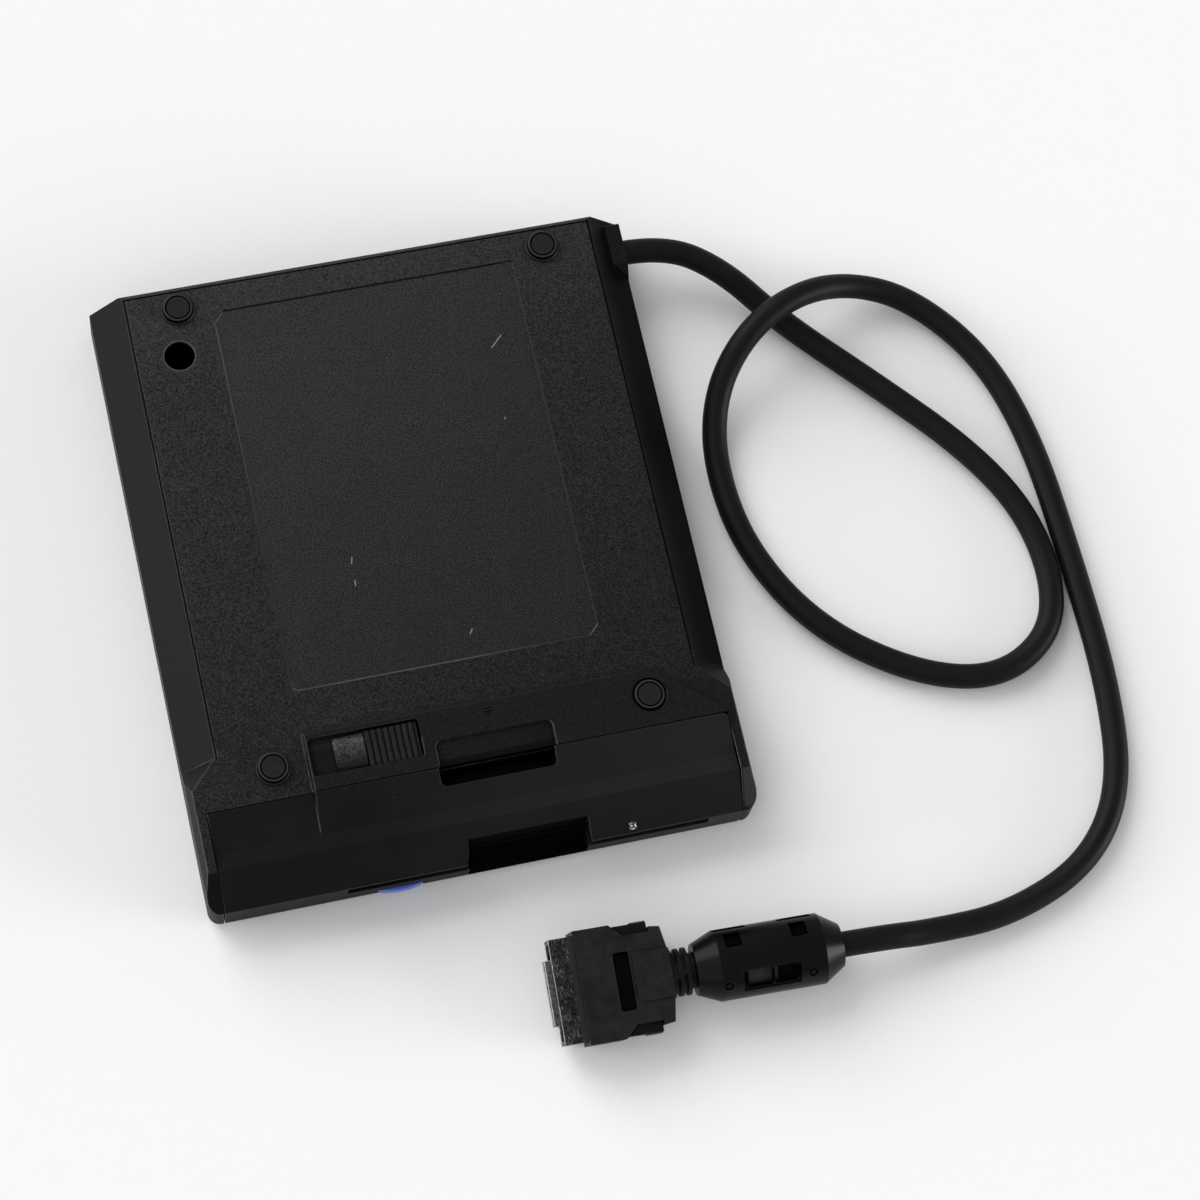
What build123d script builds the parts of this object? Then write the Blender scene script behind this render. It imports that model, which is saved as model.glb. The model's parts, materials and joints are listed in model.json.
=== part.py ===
from build123d import *
import math
import os

# External floppy disk drive, lying on its lid with the underside up, in millimetres.
# +Z points out of the underside, -Y out of the disk slot. Z = 0 is the surface it lies on.

# Driving dimensions of the case
CASE_W = 142.0
CASE_D = 164.3
CASE_H = 23.0
WALL = 2.0
LID_T = 2.0
RIM_Z = 2.4
PLATE_HALF_W = 62.4
CHAMFER_Z = 13.4
CHAMFER_END_Y = -44.85
ARM_IN = 67.4
SEAM_Y = -58.35
FRONT_CORNER_R = 3.0
FOOT_X = 48.65
FOOT_REAR_Y = 75.7
FOOT_FRONT_Y = -50.3
FOOT_H = 1.8
FOOT_R = 4.4
SERVICE_HOLE = (-50.6, 63.05)

# Raised area round the latch and the finger pull
RAISED_H = 1.15
RAISED_X0 = -40.2
RAISED_Y1 = -42.9
RAISED_CORNER_X = 51.3
RAISED_CORNER_Y = -57.3

# Removable drive
BEZEL_HALF_W = 67.1
GAP = 0.3
FACE_TOP_Z = 12.9
SLOT = (-35.7, 58.5, 7.9, 12.1)
NOTCH = (-4.2, 27.2)
PULL = (-8.1, 22.8)
PULL_REAR_Y = -51.55
PULL_FRONT_Y = -63.45
LED = (38.2, -80.7, 14.2)
LED_R = 1.1
DRIVE_HALF_W = 60.0
DRIVE_REAR_Y = 58.0
DRIVE_FRONT_Y = -58.4
SHEET = 0.8
TRAY_Z = (19.0, 19.8)
COVER_Z = (2.9, 3.5)
SLIDE_PLATE_Z = (4.6, 5.2)
HOLDER_Z = (7.3, 12.7)
FLAP_AXIS = (-74.9, 6.0)
FRONT_BLOCK_Y = -76.2
HUB = (11.4, -32.0)
STEPPER = (28.5, 13.4)
SCREW_R = 1.4

# Latch
LATCH_WINDOW = (-39.0, -10.6, -54.75, -44.75)
LATCH_FLOOR_Z = 22.4
PAD_CROWN_Y = -50.1
PAD_CROWN_Z = 24.3
PAD_R = 7.6
RIB_TOP_Z = 23.9

# Cable, ferrite sleeve and plug
CORD_D = 6.6
EXIT = (73.9, 13.0)
LINE_Y = -119.9
LINE_Z = 9.1
LINE_TURN = -1.9
LINE_PIVOT = (65.0, LINE_Y)
SLEEVE_R = 9.1
SLEEVE_MIDDLE = (51.5, 78.7)
SLEEVE_END_X = 84.0
CORE_R = 7.2
SNAPS = (55.8, 72.8)
WINDOW_TURN = 45
PLUG_TAIL_X = 45.6
PLUG_ROLL = 9.0
PLUG_FRONT_X = 15.9
PLUG_END_X = 39.0
PLUG_HALF_W = 14.4
PLUG_HALF_H = 6.8
PLUG_HOOK_X = (35.2, 38.0)
SHELL_HALF_W = 13.35
SHELL_HALF_H = 4.2
BUTTON_HALF_H = 4.1


def on_line(x):
    """A point of the straight run through sleeve and plug, which lies slightly askew."""
    reach = x - LINE_PIVOT[0]
    turn = math.radians(LINE_TURN)
    return (LINE_PIVOT[0] + reach * math.cos(turn), LINE_Y + reach * math.sin(turn), LINE_Z)


CORD_ROUTE = [
    (71.0, *EXIT), (83.0, *EXIT), (97.5, 65.6, 9.0), (110.5, 50.5, 3.4),
    (132.0, 27.5, 3.4), (151.0, 6.0, 3.4), (162.2, -13.5, 3.4), (165.2, -34.0, 3.4),
    (160.3, -49.8, 3.4), (143.8, -58.6, 3.4), (122.5, -53.0, 3.4), (99.5, -35.5, 3.4),
    (86.0, -10.5, 3.4), (83.5, 15.0, 3.4), (88.0, 33.0, 8.0), (98.5, 45.0, 16.0),
    (114.0, 53.0, 16.0), (131.0, 56.0, 8.0), (147.5, 50.0, 3.4), (162.5, 30.5, 3.4),
    (169.5, 4.5, 3.4), (171.3, -30.0, 3.4), (172.0, -65.0, 3.4), (168.0, -93.5, 3.4),
    (154.5, -111.5, 3.4), (131.0, -120.6, 3.4), (108.0, -121.2, 5.2), on_line(96.0),
    on_line(SLEEVE_END_X),
]

HALF_W = CASE_W / 2
HALF_D = CASE_D / 2
INNER_W = HALF_W - WALL
INNER_TOP = CASE_H - WALL
BEZEL_BACK_Y = SEAM_Y - GAP
EJECT_FRONT_Y = -82.8
EJECT_SWELL_R = 22.0
CORD_R = CORD_D / 2
TAIL_X = 57.0


def box(x0, x1, y0, y1, z0, z1):
    """A box between two corners."""
    return Pos((x0 + x1) / 2, (y0 + y1) / 2, (z0 + z1) / 2) * Box(x1 - x0, y1 - y0, z1 - z0)


def prism(points, direction, length):
    """A closed outline of 3-D points pushed along a direction."""
    face = make_face(Polyline(*points, close=True))
    return extrude(face, amount=length, dir=direction)


def prism_x(yz, x0, x1):
    """An outline in Y and Z between two X positions."""
    return prism([(x0, y, z) for y, z in yz], (1, 0, 0), x1 - x0)


def prism_y(xz, y0, y1):
    """An outline in X and Z between two Y positions."""
    return prism([(x, y0, z) for x, z in xz], (0, 1, 0), y1 - y0)


def prism_z(xy, z0, z1):
    """An outline in X and Y between two Z positions."""
    return prism([(x, y, z0) for x, y in xy], (0, 0, 1), z1 - z0)


def rod(start, end, radius):
    """A round rod between two points."""
    line = Vector(*end) - Vector(*start)
    stand = Plane(origin=start, z_dir=line)
    return stand * Cylinder(radius, line.length, align=(Align.CENTER, Align.CENTER, Align.MIN))


def cone(start, end, r0, r1):
    """A round taper between two points."""
    line = Vector(*end) - Vector(*start)
    stand = Plane(origin=start, z_dir=line)
    return stand * Cone(r0, r1, line.length, align=(Align.CENTER, Align.CENTER, Align.MIN))


def mirrored(points):
    """The same outline on the other side of X = 0."""
    return [(-x, other) for x, other in points]


# ---------------------------------------------------------------- case


def case_chamfers():
    """What is cut off the two long sides: the 45 degree slope and the facet that ends it."""
    slope = [(PLATE_HALF_W, CASE_H), (HALF_W + 1, CASE_H), (HALF_W + 1, CHAMFER_Z - 1.1),
             (HALF_W, CHAMFER_Z)]
    arm_edge = [(69.7, CASE_H), (HALF_W + 1, CASE_H), (HALF_W + 1, 13.3), (HALF_W, 17.5)]
    facet = Plane(origin=(PLATE_HALF_W, CHAMFER_END_Y, CASE_H), z_dir=(74.9, 72.0, 69.4))
    facet_cut = facet * Box(40, 40, 20, align=(Align.CENTER, Align.CENTER, Align.MIN))
    facet_cut &= box(60, HALF_W + 1, -56, CHAMFER_END_Y, 10, CASE_H + 1)
    cuts = []
    for outline in (slope, mirrored(slope)):
        cuts.append(prism_y(outline, CHAMFER_END_Y, HALF_D))
    for outline in (arm_edge, mirrored(arm_edge)):
        cuts.append(prism_y(outline, -HALF_D, CHAMFER_END_Y))
    cuts.append(facet_cut)
    cuts.append(mirror(facet_cut, about=Plane.YZ))
    return cuts


def case_cavity():
    """The space inside the case, two millimetres inside its walls."""
    side = [(INNER_W, RIM_Z - 1), (INNER_W, 12.6), (61.5, INNER_TOP)]
    outline = side + mirrored(side[::-1])
    return prism_y(outline, SEAM_Y - 1, HALF_D - WALL)


def raised_area():
    """The low plateau round the latch window and the finger pull, with a sloping rim."""
    rim = 0.7
    low = [(RAISED_X0, SEAM_Y), (RAISED_X0, RAISED_Y1), (RAISED_CORNER_X, RAISED_Y1),
           (ARM_IN, RAISED_CORNER_Y), (ARM_IN, SEAM_Y)]
    top = [(RAISED_X0 + rim, SEAM_Y), (RAISED_X0 + rim, RAISED_Y1 - rim),
           (RAISED_CORNER_X - 0.3, RAISED_Y1 - rim), (ARM_IN, RAISED_CORNER_Y - 0.9),
           (ARM_IN, SEAM_Y)]
    z1 = CASE_H + RAISED_H
    faces = [make_face(Polyline(*[(x, y, CASE_H) for x, y in low], close=True)),
             make_face(Polyline(*[(x, y, z1) for x, y in top], close=True))]
    return loft(faces, ruled=True)


def latch_cuts():
    """The latch window down to its floor and the slot that the slider's stem runs in."""
    x0, x1, y0, y1 = LATCH_WINDOW
    window = box(x0, x1, y0, y1, LATCH_FLOOR_Z, CASE_H + 2)
    window = fillet(window.edges().filter_by(Axis.Z), 0.9)
    stem_slot = box(-29.8, -17.7, -52.3, -47.3, 20, CASE_H)
    return [window, stem_slot]


def plate_marks():
    """The shallow marks: label outline, plate groove, alignment bar and triangle."""
    label = prism_z([(-37, -31.6), (37, -31.6), (40, -28.6), (40, 70.35), (37, 73.35),
                     (-37, 73.35), (-40, 70.35), (-40, -28.6)], CASE_H - 0.25, CASE_H + 1)
    cuts = [label]
    for side in (-1, 1):
        x = side * (PLATE_HALF_W - 0.5)
        cuts.append(box(x - 0.2, x + 0.2, CHAMFER_END_Y, 80.9, CASE_H - 0.5, CASE_H + 1))
    cuts.append(box(-61.9, 61.9, 80.5, 80.9, CASE_H - 0.5, CASE_H + 1))
    mark_z = CASE_H + RAISED_H - 0.3
    cuts.append(box(6.0, 8.7, -45.95, -45.4, mark_z, mark_z + 1))
    cuts.append(prism_z([(6.0, -46.3), (8.7, -46.3), (7.35, -47.8)], mark_z, mark_z + 1))
    return cuts


def finger_pull():
    """The sloping hollow in the plateau that leads the fingertips to the drive."""
    floor = [(PULL_REAR_Y, CASE_H + 0.4), (SEAM_Y - 1, 21.6), (SEAM_Y - 1, 26), (PULL_REAR_Y, 26)]
    hollow = prism_x(floor, PULL[0] + 0.5, PULL[1])
    return fillet(hollow.edges().filter_by(Axis.Z).sort_by(Axis.Y)[-2:], 1.8)


def cable_boss():
    """The blister on the right rear slope that the cable comes out of."""
    outline = [(80.4, 12.0), (80.4, 18.6), (69.0, 18.6), (65.4, 13.4), (65.4, 12.0)]
    boss = prism_x(outline, 62.0, HALF_W)
    side_edges = boss.edges().filter_by(Axis.X).sort_by(Axis.Z)[-2:]
    return fillet(side_edges, 0.8)


def make_bottom_case():
    body = box(-HALF_W, HALF_W, -HALF_D, HALF_D, RIM_Z, CASE_H)
    corners = body.edges().filter_by(Axis.Z).sort_by(Axis.Y)[:2]
    body = fillet(corners, FRONT_CORNER_R)
    body = chamfer(body.faces().sort_by(Axis.Y)[-1].edges().sort_by(Axis.Z)[-1], 1.0)
    for cut in case_chamfers():
        body -= cut
    body += raised_area()
    body += cable_boss()
    body -= case_cavity()
    body -= box(-ARM_IN, ARM_IN, -HALF_D - 1, SEAM_Y, 0, CASE_H + 3)
    front_slope = prism_x([(-73.0, CASE_H), (-HALF_D, FACE_TOP_Z), (-HALF_D - 1, FACE_TOP_Z),
                           (-HALF_D - 1, CASE_H + 1), (-73.0, CASE_H + 1)], -HALF_W, HALF_W)
    body -= front_slope
    for cut in latch_cuts() + plate_marks():
        body -= cut
    body -= finger_pull()
    body -= rod((*SERVICE_HOLE, 20), (*SERVICE_HOLE, 25), 4.0)
    for x in (-FOOT_X, FOOT_X):
        body -= rod((x, FOOT_REAR_Y, 20), (x, FOOT_REAR_Y, 25), 1.5)
        body -= rod((x, FOOT_REAR_Y, 21.6), (x, FOOT_REAR_Y, 25), 3.0)
        body -= rod((x, FOOT_FRONT_Y, 20), (x, FOOT_FRONT_Y, 25), 2.0)
    body -= rod((FOOT_X, FOOT_FRONT_Y, CASE_H), (FOOT_X, FOOT_FRONT_Y, 25), FOOT_R + 0.1)
    body -= rod((60, *EXIT), (HALF_W + 1, *EXIT), 4.4)
    return body


def make_top_cover():
    lid = box(-HALF_W, HALF_W, -79.0, HALF_D, 0, LID_T)
    lid = chamfer(lid.faces().sort_by(Axis.Z)[0].edges(), 0.8)
    rim = box(-HALF_W, HALF_W, SEAM_Y, HALF_D, LID_T, RIM_Z)
    rim -= box(-INNER_W, INNER_W, SEAM_Y - 1, HALF_D - WALL, 0, RIM_Z + 1)
    arm = box(ARM_IN, HALF_W, -79.0, SEAM_Y, LID_T, RIM_Z)
    rim += arm
    rim += mirror(arm, about=Plane.YZ)
    lid += rim
    for x in (-FOOT_X, FOOT_X):
        lid += rod((x, FOOT_REAR_Y, 1.5), (x, FOOT_REAR_Y, 20.9), 3.0)
        lid -= rod((x, FOOT_REAR_Y, 8.0), (x, FOOT_REAR_Y, 25), 1.3)
    lid -= box(-44.3, 44.3, 69.1, 71.3, 1.2, 4)
    return lid


def make_foot(x, y):
    disc = rod((x, y, CASE_H), (x, y, CASE_H + FOOT_H), FOOT_R)
    disc = chamfer(disc.faces().sort_by(Axis.Z)[-1].edges(), 0.5)
    if y < 0:
        disc += rod((x, y, 21.1), (x, y, CASE_H + 0.5), 1.95)
    return disc


def make_case_screws():
    screws = []
    for x in (-FOOT_X, FOOT_X):
        screw = rod((x, FOOT_REAR_Y, 9.0), (x, FOOT_REAR_Y, 22.0), 1.25)
        screw += rod((x, FOOT_REAR_Y, 21.65), (x, FOOT_REAR_Y, 22.9), 2.6)
        screw -= box(x - 1.6, x + 1.6, FOOT_REAR_Y - 0.3, FOOT_REAR_Y + 0.3, 22.3, 23)
        screws.append(screw)
    return Compound(children=screws)


def make_cable_grommet():
    ring = rod((66.0, *EXIT), (HALF_W, *EXIT), 4.35)
    return ring - rod((65, *EXIT), (HALF_W + 1, *EXIT), CORD_R + 0.05)


def make_cable_clamp():
    saddle = box(60.2, 64.8, 68.6, 79.2, LID_T, 16.8)
    return saddle - rod((60, *EXIT), (65, *EXIT), CORD_R + 0.05)


def make_cord_tail():
    return rod((TAIL_X, *EXIT), (HALF_W, *EXIT), CORD_R)


def make_lead_wires():
    """Four insulated leads from the cable's end to the board's header."""
    wires = []
    for row in (-1, 1):
        for column in (-1, 1):
            y = EXIT[0] + 1.4 * row
            z = EXIT[1] + 1.4 * column
            y_end = 66.2 + 1.1 * row
            points = [(TAIL_X, y, z), (54.2, y, z), (51.6, y_end, z), (43.0, y_end, z)]
            path = FilletPolyline(*points, radius=1.0)
            section = Plane(origin=points[0], z_dir=(-1, 0, 0)) * Circle(0.5)
            wires.append(sweep(section, path=path))
    return Compound(children=wires)


def make_dock_board():
    board = box(-44, 44, 69.4, 71.0, 1.4, 19.0)
    board += box(38.0, 43.0, 64.2, 69.4, 10.0, 16.0)
    return board


def make_dock_socket():
    body = box(-20, 20, 60.6, 69.4, 8.0, 15.0)
    body -= box(-18, 18, 60, 66.0, 9.6, 13.4)
    tongue = box(-16.5, 16.5, 62.0, 67.0, 11.0, 12.0)
    return body + tongue


def make_guide_rail(side):
    x0 = DRIVE_HALF_W + 0.4
    rail = box(x0, x0 + 2, -54, 54, LID_T, 9.0) + box(x0 - 0.8, x0 + 6, -54, 54, LID_T, 2.5)
    for y in (-40, 0, 40):
        rail += box(x0 + 1, x0 + 6, y - 1, y + 1, LID_T, 8.0)
    return rail if side > 0 else mirror(rail, about=Plane.YZ)


def make_shield_plate():
    sheet = box(-57, 57, -38, 57, 20.3, 20.7)
    sheet -= rod((-50.6, 50, 20), (-50.6, 50, 21), 3.0)
    for x in (-45, 0, 45):
        sheet += box(x - 3, x + 3, 40, 44, 20.7, INNER_TOP)
        sheet += box(x - 3, x + 3, -30, -26, 20.7, INNER_TOP)
    return sheet


# ---------------------------------------------------------------- latch


def make_latch_slider():
    """The thumb slider: a crowned pad, then a block ribbed across the travel."""
    y0, y1 = LATCH_WINDOW[2] + 0.15, LATCH_WINDOW[3] - 0.75
    bottom = LATCH_FLOOR_Z + 0.1
    pad_x0, ribs_x0, ribs_x1 = -32.9, -24.6, -11.4
    crown = rod((pad_x0, PAD_CROWN_Y, PAD_CROWN_Z - PAD_R), (ribs_x0 - 0.4, PAD_CROWN_Y,
                PAD_CROWN_Z - PAD_R), PAD_R)
    slider = crown & box(pad_x0, ribs_x0, y0, y1, bottom, PAD_CROWN_Z + 1)
    slider += box(pad_x0, ribs_x0, y0, y1, bottom, bottom + 0.2)
    slider += box(ribs_x0, ribs_x1, y0, y1, bottom, RIB_TOP_Z)
    for number in range(8):
        x = ribs_x0 + 1.1 + 1.6 * number
        slider -= box(x, x + 0.7, y0 - 1, y1 + 1, RIB_TOP_Z - 0.6, RIB_TOP_Z + 1)
    stem = box(-24.2, -18.0, -52.1, -47.5, INNER_TOP, bottom + 0.1)
    return slider + stem


def make_latch_retainer():
    clip = box(-27.0, -15.2, -53.4, -46.2, 20.3, 20.9)
    clip += box(-24.2, -18.0, -51.0, -48.6, 20.6, INNER_TOP)
    clip += box(-22.6, -19.6, -50.6, -49.0, 18.4, 20.4)
    return clip


# ---------------------------------------------------------------- removable drive


def bezel_profile(band_z):
    """The bezel's outline in Y and Z; band_z is the height of its rear edge."""
    return [(BEZEL_BACK_Y, band_z), (-69.2, 22.0), (-73.2, 22.2), (-HALF_D, FACE_TOP_Z),
            (-HALF_D, RIM_Z), (-81.5, 1.2), (-80.0, 0.3), (-79.3, 0.3), (-79.3, 2.3),
            (BEZEL_BACK_Y, 2.3)]


def make_bezel():
    high_side = prism_x(bezel_profile(CASE_H + RAISED_H), RAISED_X0, BEZEL_HALF_W)
    high_side -= prism_y([(RAISED_X0 - 1, CASE_H - 0.4), (RAISED_X0, CASE_H - 0.4),
                          (RAISED_X0 + 0.8, CASE_H + 1.2), (RAISED_X0 - 1, CASE_H + 1.2)],
                         -72, BEZEL_BACK_Y + 1)
    rear_edges = high_side.edges().filter_by(Axis.Z).sort_by(Axis.Y)[-2:]
    high_side = fillet(rear_edges.sort_by(Axis.X)[-1], 1.5)
    low_side = prism_x(bezel_profile(CASE_H), -BEZEL_HALF_W, RAISED_X0)
    bezel = high_side + low_side
    hollow = [(BEZEL_BACK_Y + 1, 21.8), (-69.2, 19.9), (-73.0, 19.9), (FRONT_BLOCK_Y, 16.6),
              (FRONT_BLOCK_Y, 4.3), (BEZEL_BACK_Y + 1, 4.3)]
    bezel -= prism_x(hollow, -BEZEL_HALF_W + 2, BEZEL_HALF_W - 2)
    x0, x1, z0, z1 = SLOT
    bezel -= box(x0, x1, -HALF_D - 1, -75, z0, z1)
    n0, n1 = NOTCH
    flare = [(n0 - 1.0, -HALF_D - 1), (n1 + 0.4, -HALF_D - 1), (n1, -79.5), (n1, -77.0), (n0, -77.0),
             (n0, -79.5)]
    bezel -= prism_z(flare, z1 - 1, 24)
    bezel -= box(n0, n1, -HALF_D - 1, -78.6, 3.2, z0 + 1)
    p0, p1 = PULL[0], PULL[1] - 0.9
    bezel += box(p0 - 1.5, p1 + 1.5, PULL_FRONT_Y - 1.75, BEZEL_BACK_Y, 15.0, 22.4)
    pocket = box(p0, p1, PULL_FRONT_Y, BEZEL_BACK_Y - 0.6, 16.5, 26)
    bezel -= fillet(pocket.edges().filter_by(Axis.Z).sort_by(Axis.Y)[:2], 1.5)
    bezel -= box(p0, p1, BEZEL_BACK_Y - 1, BEZEL_BACK_Y + 1, 21.2, 26)
    x, y, z = LED
    bezel -= rod((x, y - 4, z), (x, -74.0, z), LED_R + 0.1)
    bezel -= box(-27.5, -16.0, -HALF_D - 1, -63.0, 0, 4.6)
    for x in (-37.2, 60.0):
        lug = box(x - 1.1, x + 1.1, -75.7, -73.6, 4.2, 7.4)
        bezel += lug - rod((x - 2, *FLAP_AXIS), (x + 2, *FLAP_AXIS), 0.5)
    return bezel


def make_led_lens():
    lens = rod(LED, (LED[0], -75.0, LED[2]), LED_R)
    return lens + Pos(*LED) * Sphere(LED_R)


def make_eject_button():
    """A blue push bar whose front swells out of the bezel's foot, on a stem to the slide plate."""
    middle, swell_y = (-27.2 - 16.3) / 2, EJECT_FRONT_Y + EJECT_SWELL_R
    button = box(-27.2, -16.3, EJECT_FRONT_Y, -81.8, 1.6, 4.3)
    button &= rod((middle, swell_y, 1.0), (middle, swell_y, 5.0), EJECT_SWELL_R)
    button += box(-27.2, -16.3, -82.0, -79.6, 2.7, 4.3)
    button += box(-24.5, -19.0, -80.0, -66.5, 2.7, 4.3)
    button += box(-24.5, -19.0, -69.0, -66.5, 4.0, SLIDE_PLATE_Z[1])
    return button


def make_slide_plate():
    plate = box(-34.0, 57.0, -66.0, 18.0, *SLIDE_PLATE_Z)
    plate += box(-24.5, -19.0, -66.5, -65.5, *SLIDE_PLATE_Z)
    plate -= box(0, 22, -16, 20, 4, 6)
    for y in (-56.0, -6.0):
        plate -= box(44.0, 50.0, y - 5, y + 5, 4, 6)
        plate -= box(-28.0, -22.0, y - 5, y + 5, 4, 6)
    return plate


def make_disk_holder():
    """The sheet-metal cage that the disk slides into, open towards the motor."""
    x0, x1 = -35.2, 58.0
    z0, z1 = HOLDER_Z
    holder = box(x0, x1, -67.0, 16.0, z0, z1)
    holder -= box(x0 + 0.6, x1 - 0.6, -68.0, 17.0, z0 + 0.6, z1 - 0.6)
    holder -= box(x0 + 7.0, x1 - 7.0, -68.0, 17.0, z1 - 1, z1 + 1)
    holder -= box(3.2, 19.6, -15.0, 17.0, z0 - 1, z0 + 1)
    for x in (-20.0, 30.0):
        holder -= box(x, x + 12.0, -55.0, -15.0, z0 - 1, z0 + 1)
    return holder


def make_dust_flap():
    flap = box(-34.9, 57.7, -75.3, -74.5, 5.6, 12.9)
    barrel = rod((-34.9, *FLAP_AXIS), (57.7, *FLAP_AXIS), 1.0)
    return flap + barrel - rod((-36, *FLAP_AXIS), (59, *FLAP_AXIS), 0.55)


def make_flap_pin():
    return rod((-38.0, *FLAP_AXIS), (60.8, *FLAP_AXIS), 0.5)


def drive_screw_places():
    """The four corners where the cover is screwed to the tray."""
    x = DRIVE_HALF_W - 2.6
    return [(side * x, y) for side in (-1, 1) for y in (-54.0, 54.0)]


def make_drive_tray():
    """The folded steel carrier: a floor under the real underside and three turned-down walls."""
    inner = DRIVE_HALF_W - SHEET
    tray = box(-DRIVE_HALF_W, DRIVE_HALF_W, DRIVE_FRONT_Y, DRIVE_REAR_Y, COVER_Z[1], TRAY_Z[1])
    tray -= box(-inner, inner, DRIVE_FRONT_Y - 1, DRIVE_REAR_Y - SHEET, 3.0, TRAY_Z[0])
    tray -= box(-33.4, -17.0, DRIVE_FRONT_Y - 1, -27.0, 18, 21)
    tray -= box(-28.5, 28.5, 56, 60, 3, 18.5)
    tray -= rod((*HUB, 18), (*HUB, 21), 5.0)
    for x, y in drive_screw_places():
        tray += box(x - 2.2, x + 2.2, y - 2.2, y + 2.2, COVER_Z[1], COVER_Z[1] + SHEET)
        tray -= rod((x, y, 3), (x, y, 5), 0.8)
    return tray


def make_drive_cover():
    sheet = box(-DRIVE_HALF_W, DRIVE_HALF_W, DRIVE_FRONT_Y, DRIVE_REAR_Y, *COVER_Z)
    for x in (-45.0, 45.0):
        sheet -= box(x - 4, x + 4, 30, 50, 2, 4)
    for x, y in drive_screw_places():
        sheet -= rod((x, y, 2), (x, y, 4), 1.1)
    return sheet


def make_spindle_motor_base():
    x, y = HUB
    base = box(x - 26, x + 26, y - 22, y + 17.3, 18.0, TRAY_Z[0])
    stator = rod((x, y, 15.4), (x, y, 18.2), 8.0)
    bush = rod((x, y, 14.8), (x, y, 19.0), 4.0)
    return base + stator + bush - rod((x, y, 12), (x, y, 20), 1.55)


def make_spindle_rotor():
    x, y = HUB
    cup = rod((x, y, 13.7), (x, y, 17.6), 17.0)
    return cup - rod((x, y, 14.4), (x, y, 18.6), 16.2) - rod((x, y, 13), (x, y, 20), 1.5)


def make_spindle_hub():
    x, y = HUB
    hub = rod((x, y, 12.9), (x, y, 13.7), 12.5)
    shaft = rod((x, y, 12.2), (x, y, 18.9), 1.5)
    drive_pin = rod((x + 8.0, y, 12.3), (x + 8.0, y, 13.0), 1.0)
    return hub + shaft + drive_pin


def make_stepper_motor():
    x, z = STEPPER
    can = rod((x, 38.0, z), (x, 51.0, z), 5.4)
    flange = box(x - 7, x + 7, 37.2, 38.0, 8.0, TRAY_Z[0])
    return can + flange - rod((x, 37, z), (x, 44, z), SCREW_R + 0.15)


def make_lead_screw():
    """The carriage drive screw with its thread as evenly spaced grooves."""
    x, z = STEPPER
    screw = rod((x, -8.0, z), (x, 43.0, z), SCREW_R)
    for number in range(13):
        y = -3.5 + 3.0 * number
        ring = rod((x, y, z), (x, y + 0.7, z), SCREW_R + 1) - rod((x, y - 1, z), (x, y + 2, z), 1.0)
        screw -= ring
    return screw


def make_screw_bracket():
    x, z = STEPPER
    post = box(x - 3, x + 3, -10.6, -8.9, 10.9, TRAY_Z[0])
    return post - rod((x, -12, z), (x, -8, z), 0.9)


def make_guide_rod():
    rail = rod((-2.0, -11.6, 15.0), (-2.0, 41.6, 15.0), 1.2)
    for y in (-13.2, 40.0):
        rail += box(-4.0, 0.0, y, y + 1.6, 13.4, TRAY_Z[0])
    return rail


def make_head_carriage():
    """The sliding frame: a deck over the disk's underside and a column behind the disk."""
    deck = box(4.6, 18.2, -12.0, 24.0, 13.2, 16.8)
    column = box(5.6, 17.2, 18.4, 24.0, 7.0, 13.4)
    deck -= box(8.0, 14.8, -2.0, 14.0, 14.4, 17)
    sleeve = box(-4.6, 5.0, 2.0, 12.0, 12.9, 17.1) - rod((-2, 0, 15), (-2, 14, 15), 1.3)
    tab = box(17.8, 26.8, 4.0, 7.0, 14.0, 16.0)
    return deck + column + sleeve + tab


def make_upper_head_arm():
    arm = box(6.0, 16.8, -12.0, 23.6, 6.2, 7.0)
    return arm - box(8.5, 14.3, 2.0, 16.0, 6, 8)


def make_heads():
    lower = box(9.0, 13.8, -10.0, -4.4, 12.2, 13.2)
    upper = box(9.0, 13.8, -10.0, -4.4, 7.0, 7.8)
    return lower, upper


def make_main_board():
    board = box(-57.0, -38.8, -50.0, 55.5, 16.0, 17.4)
    board += box(-38.8, -4.0, 46.0, 55.5, 16.0, 17.4)
    return board


def make_main_chips():
    chips = [box(-54.0, -42.0, -30.0, -16.0, 14.0, 16.0), box(-53.0, -43.0, 0.0, 12.0, 14.2, 16.0),
             box(-52.0, -46.0, 24.0, 34.0, 14.6, 16.0)]
    for number in range(5):
        y = -44.0 + 3.2 * number
        chips.append(box(-52.0, -50.4, y, y + 1.6, 15.2, 16.0))
    return Compound(children=chips)


def make_dock_plug():
    body = box(-20.0, 20.0, 50.0, 58.2, 8.2, 15.0)
    blade = box(-17.4, 17.4, 58.2, 64.5, 9.9, 13.1) - box(-16.9, 16.9, 59.2, 65, 10.6, 12.4)
    leg = box(-20.0, -6.0, 50.0, 55.0, 15.0, 16.0)
    return body + blade + leg


def make_sensor_switches():
    """Two plunger switches beside the disk: disk present and write protect."""
    x = -37.6
    switches = []
    for y in (-50.0, -42.0):
        body = box(x - 1.0, x + 1.0, y, y + 6.0, 12.9, TRAY_Z[0])
        switches.append(body + box(x - 0.4, x + 0.4, y + 2, y + 4, 12.2, 12.9))
    return Compound(children=switches)


def make_drive_screws():
    screws = []
    for x, y in drive_screw_places():
        head = rod((x, y, 2.4), (x, y, COVER_Z[0]), 1.7)
        screws.append(head + rod((x, y, 2.5), (x, y, 4.3), 0.75))
    return Compound(children=screws)


# ---------------------------------------------------------------- cable


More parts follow.
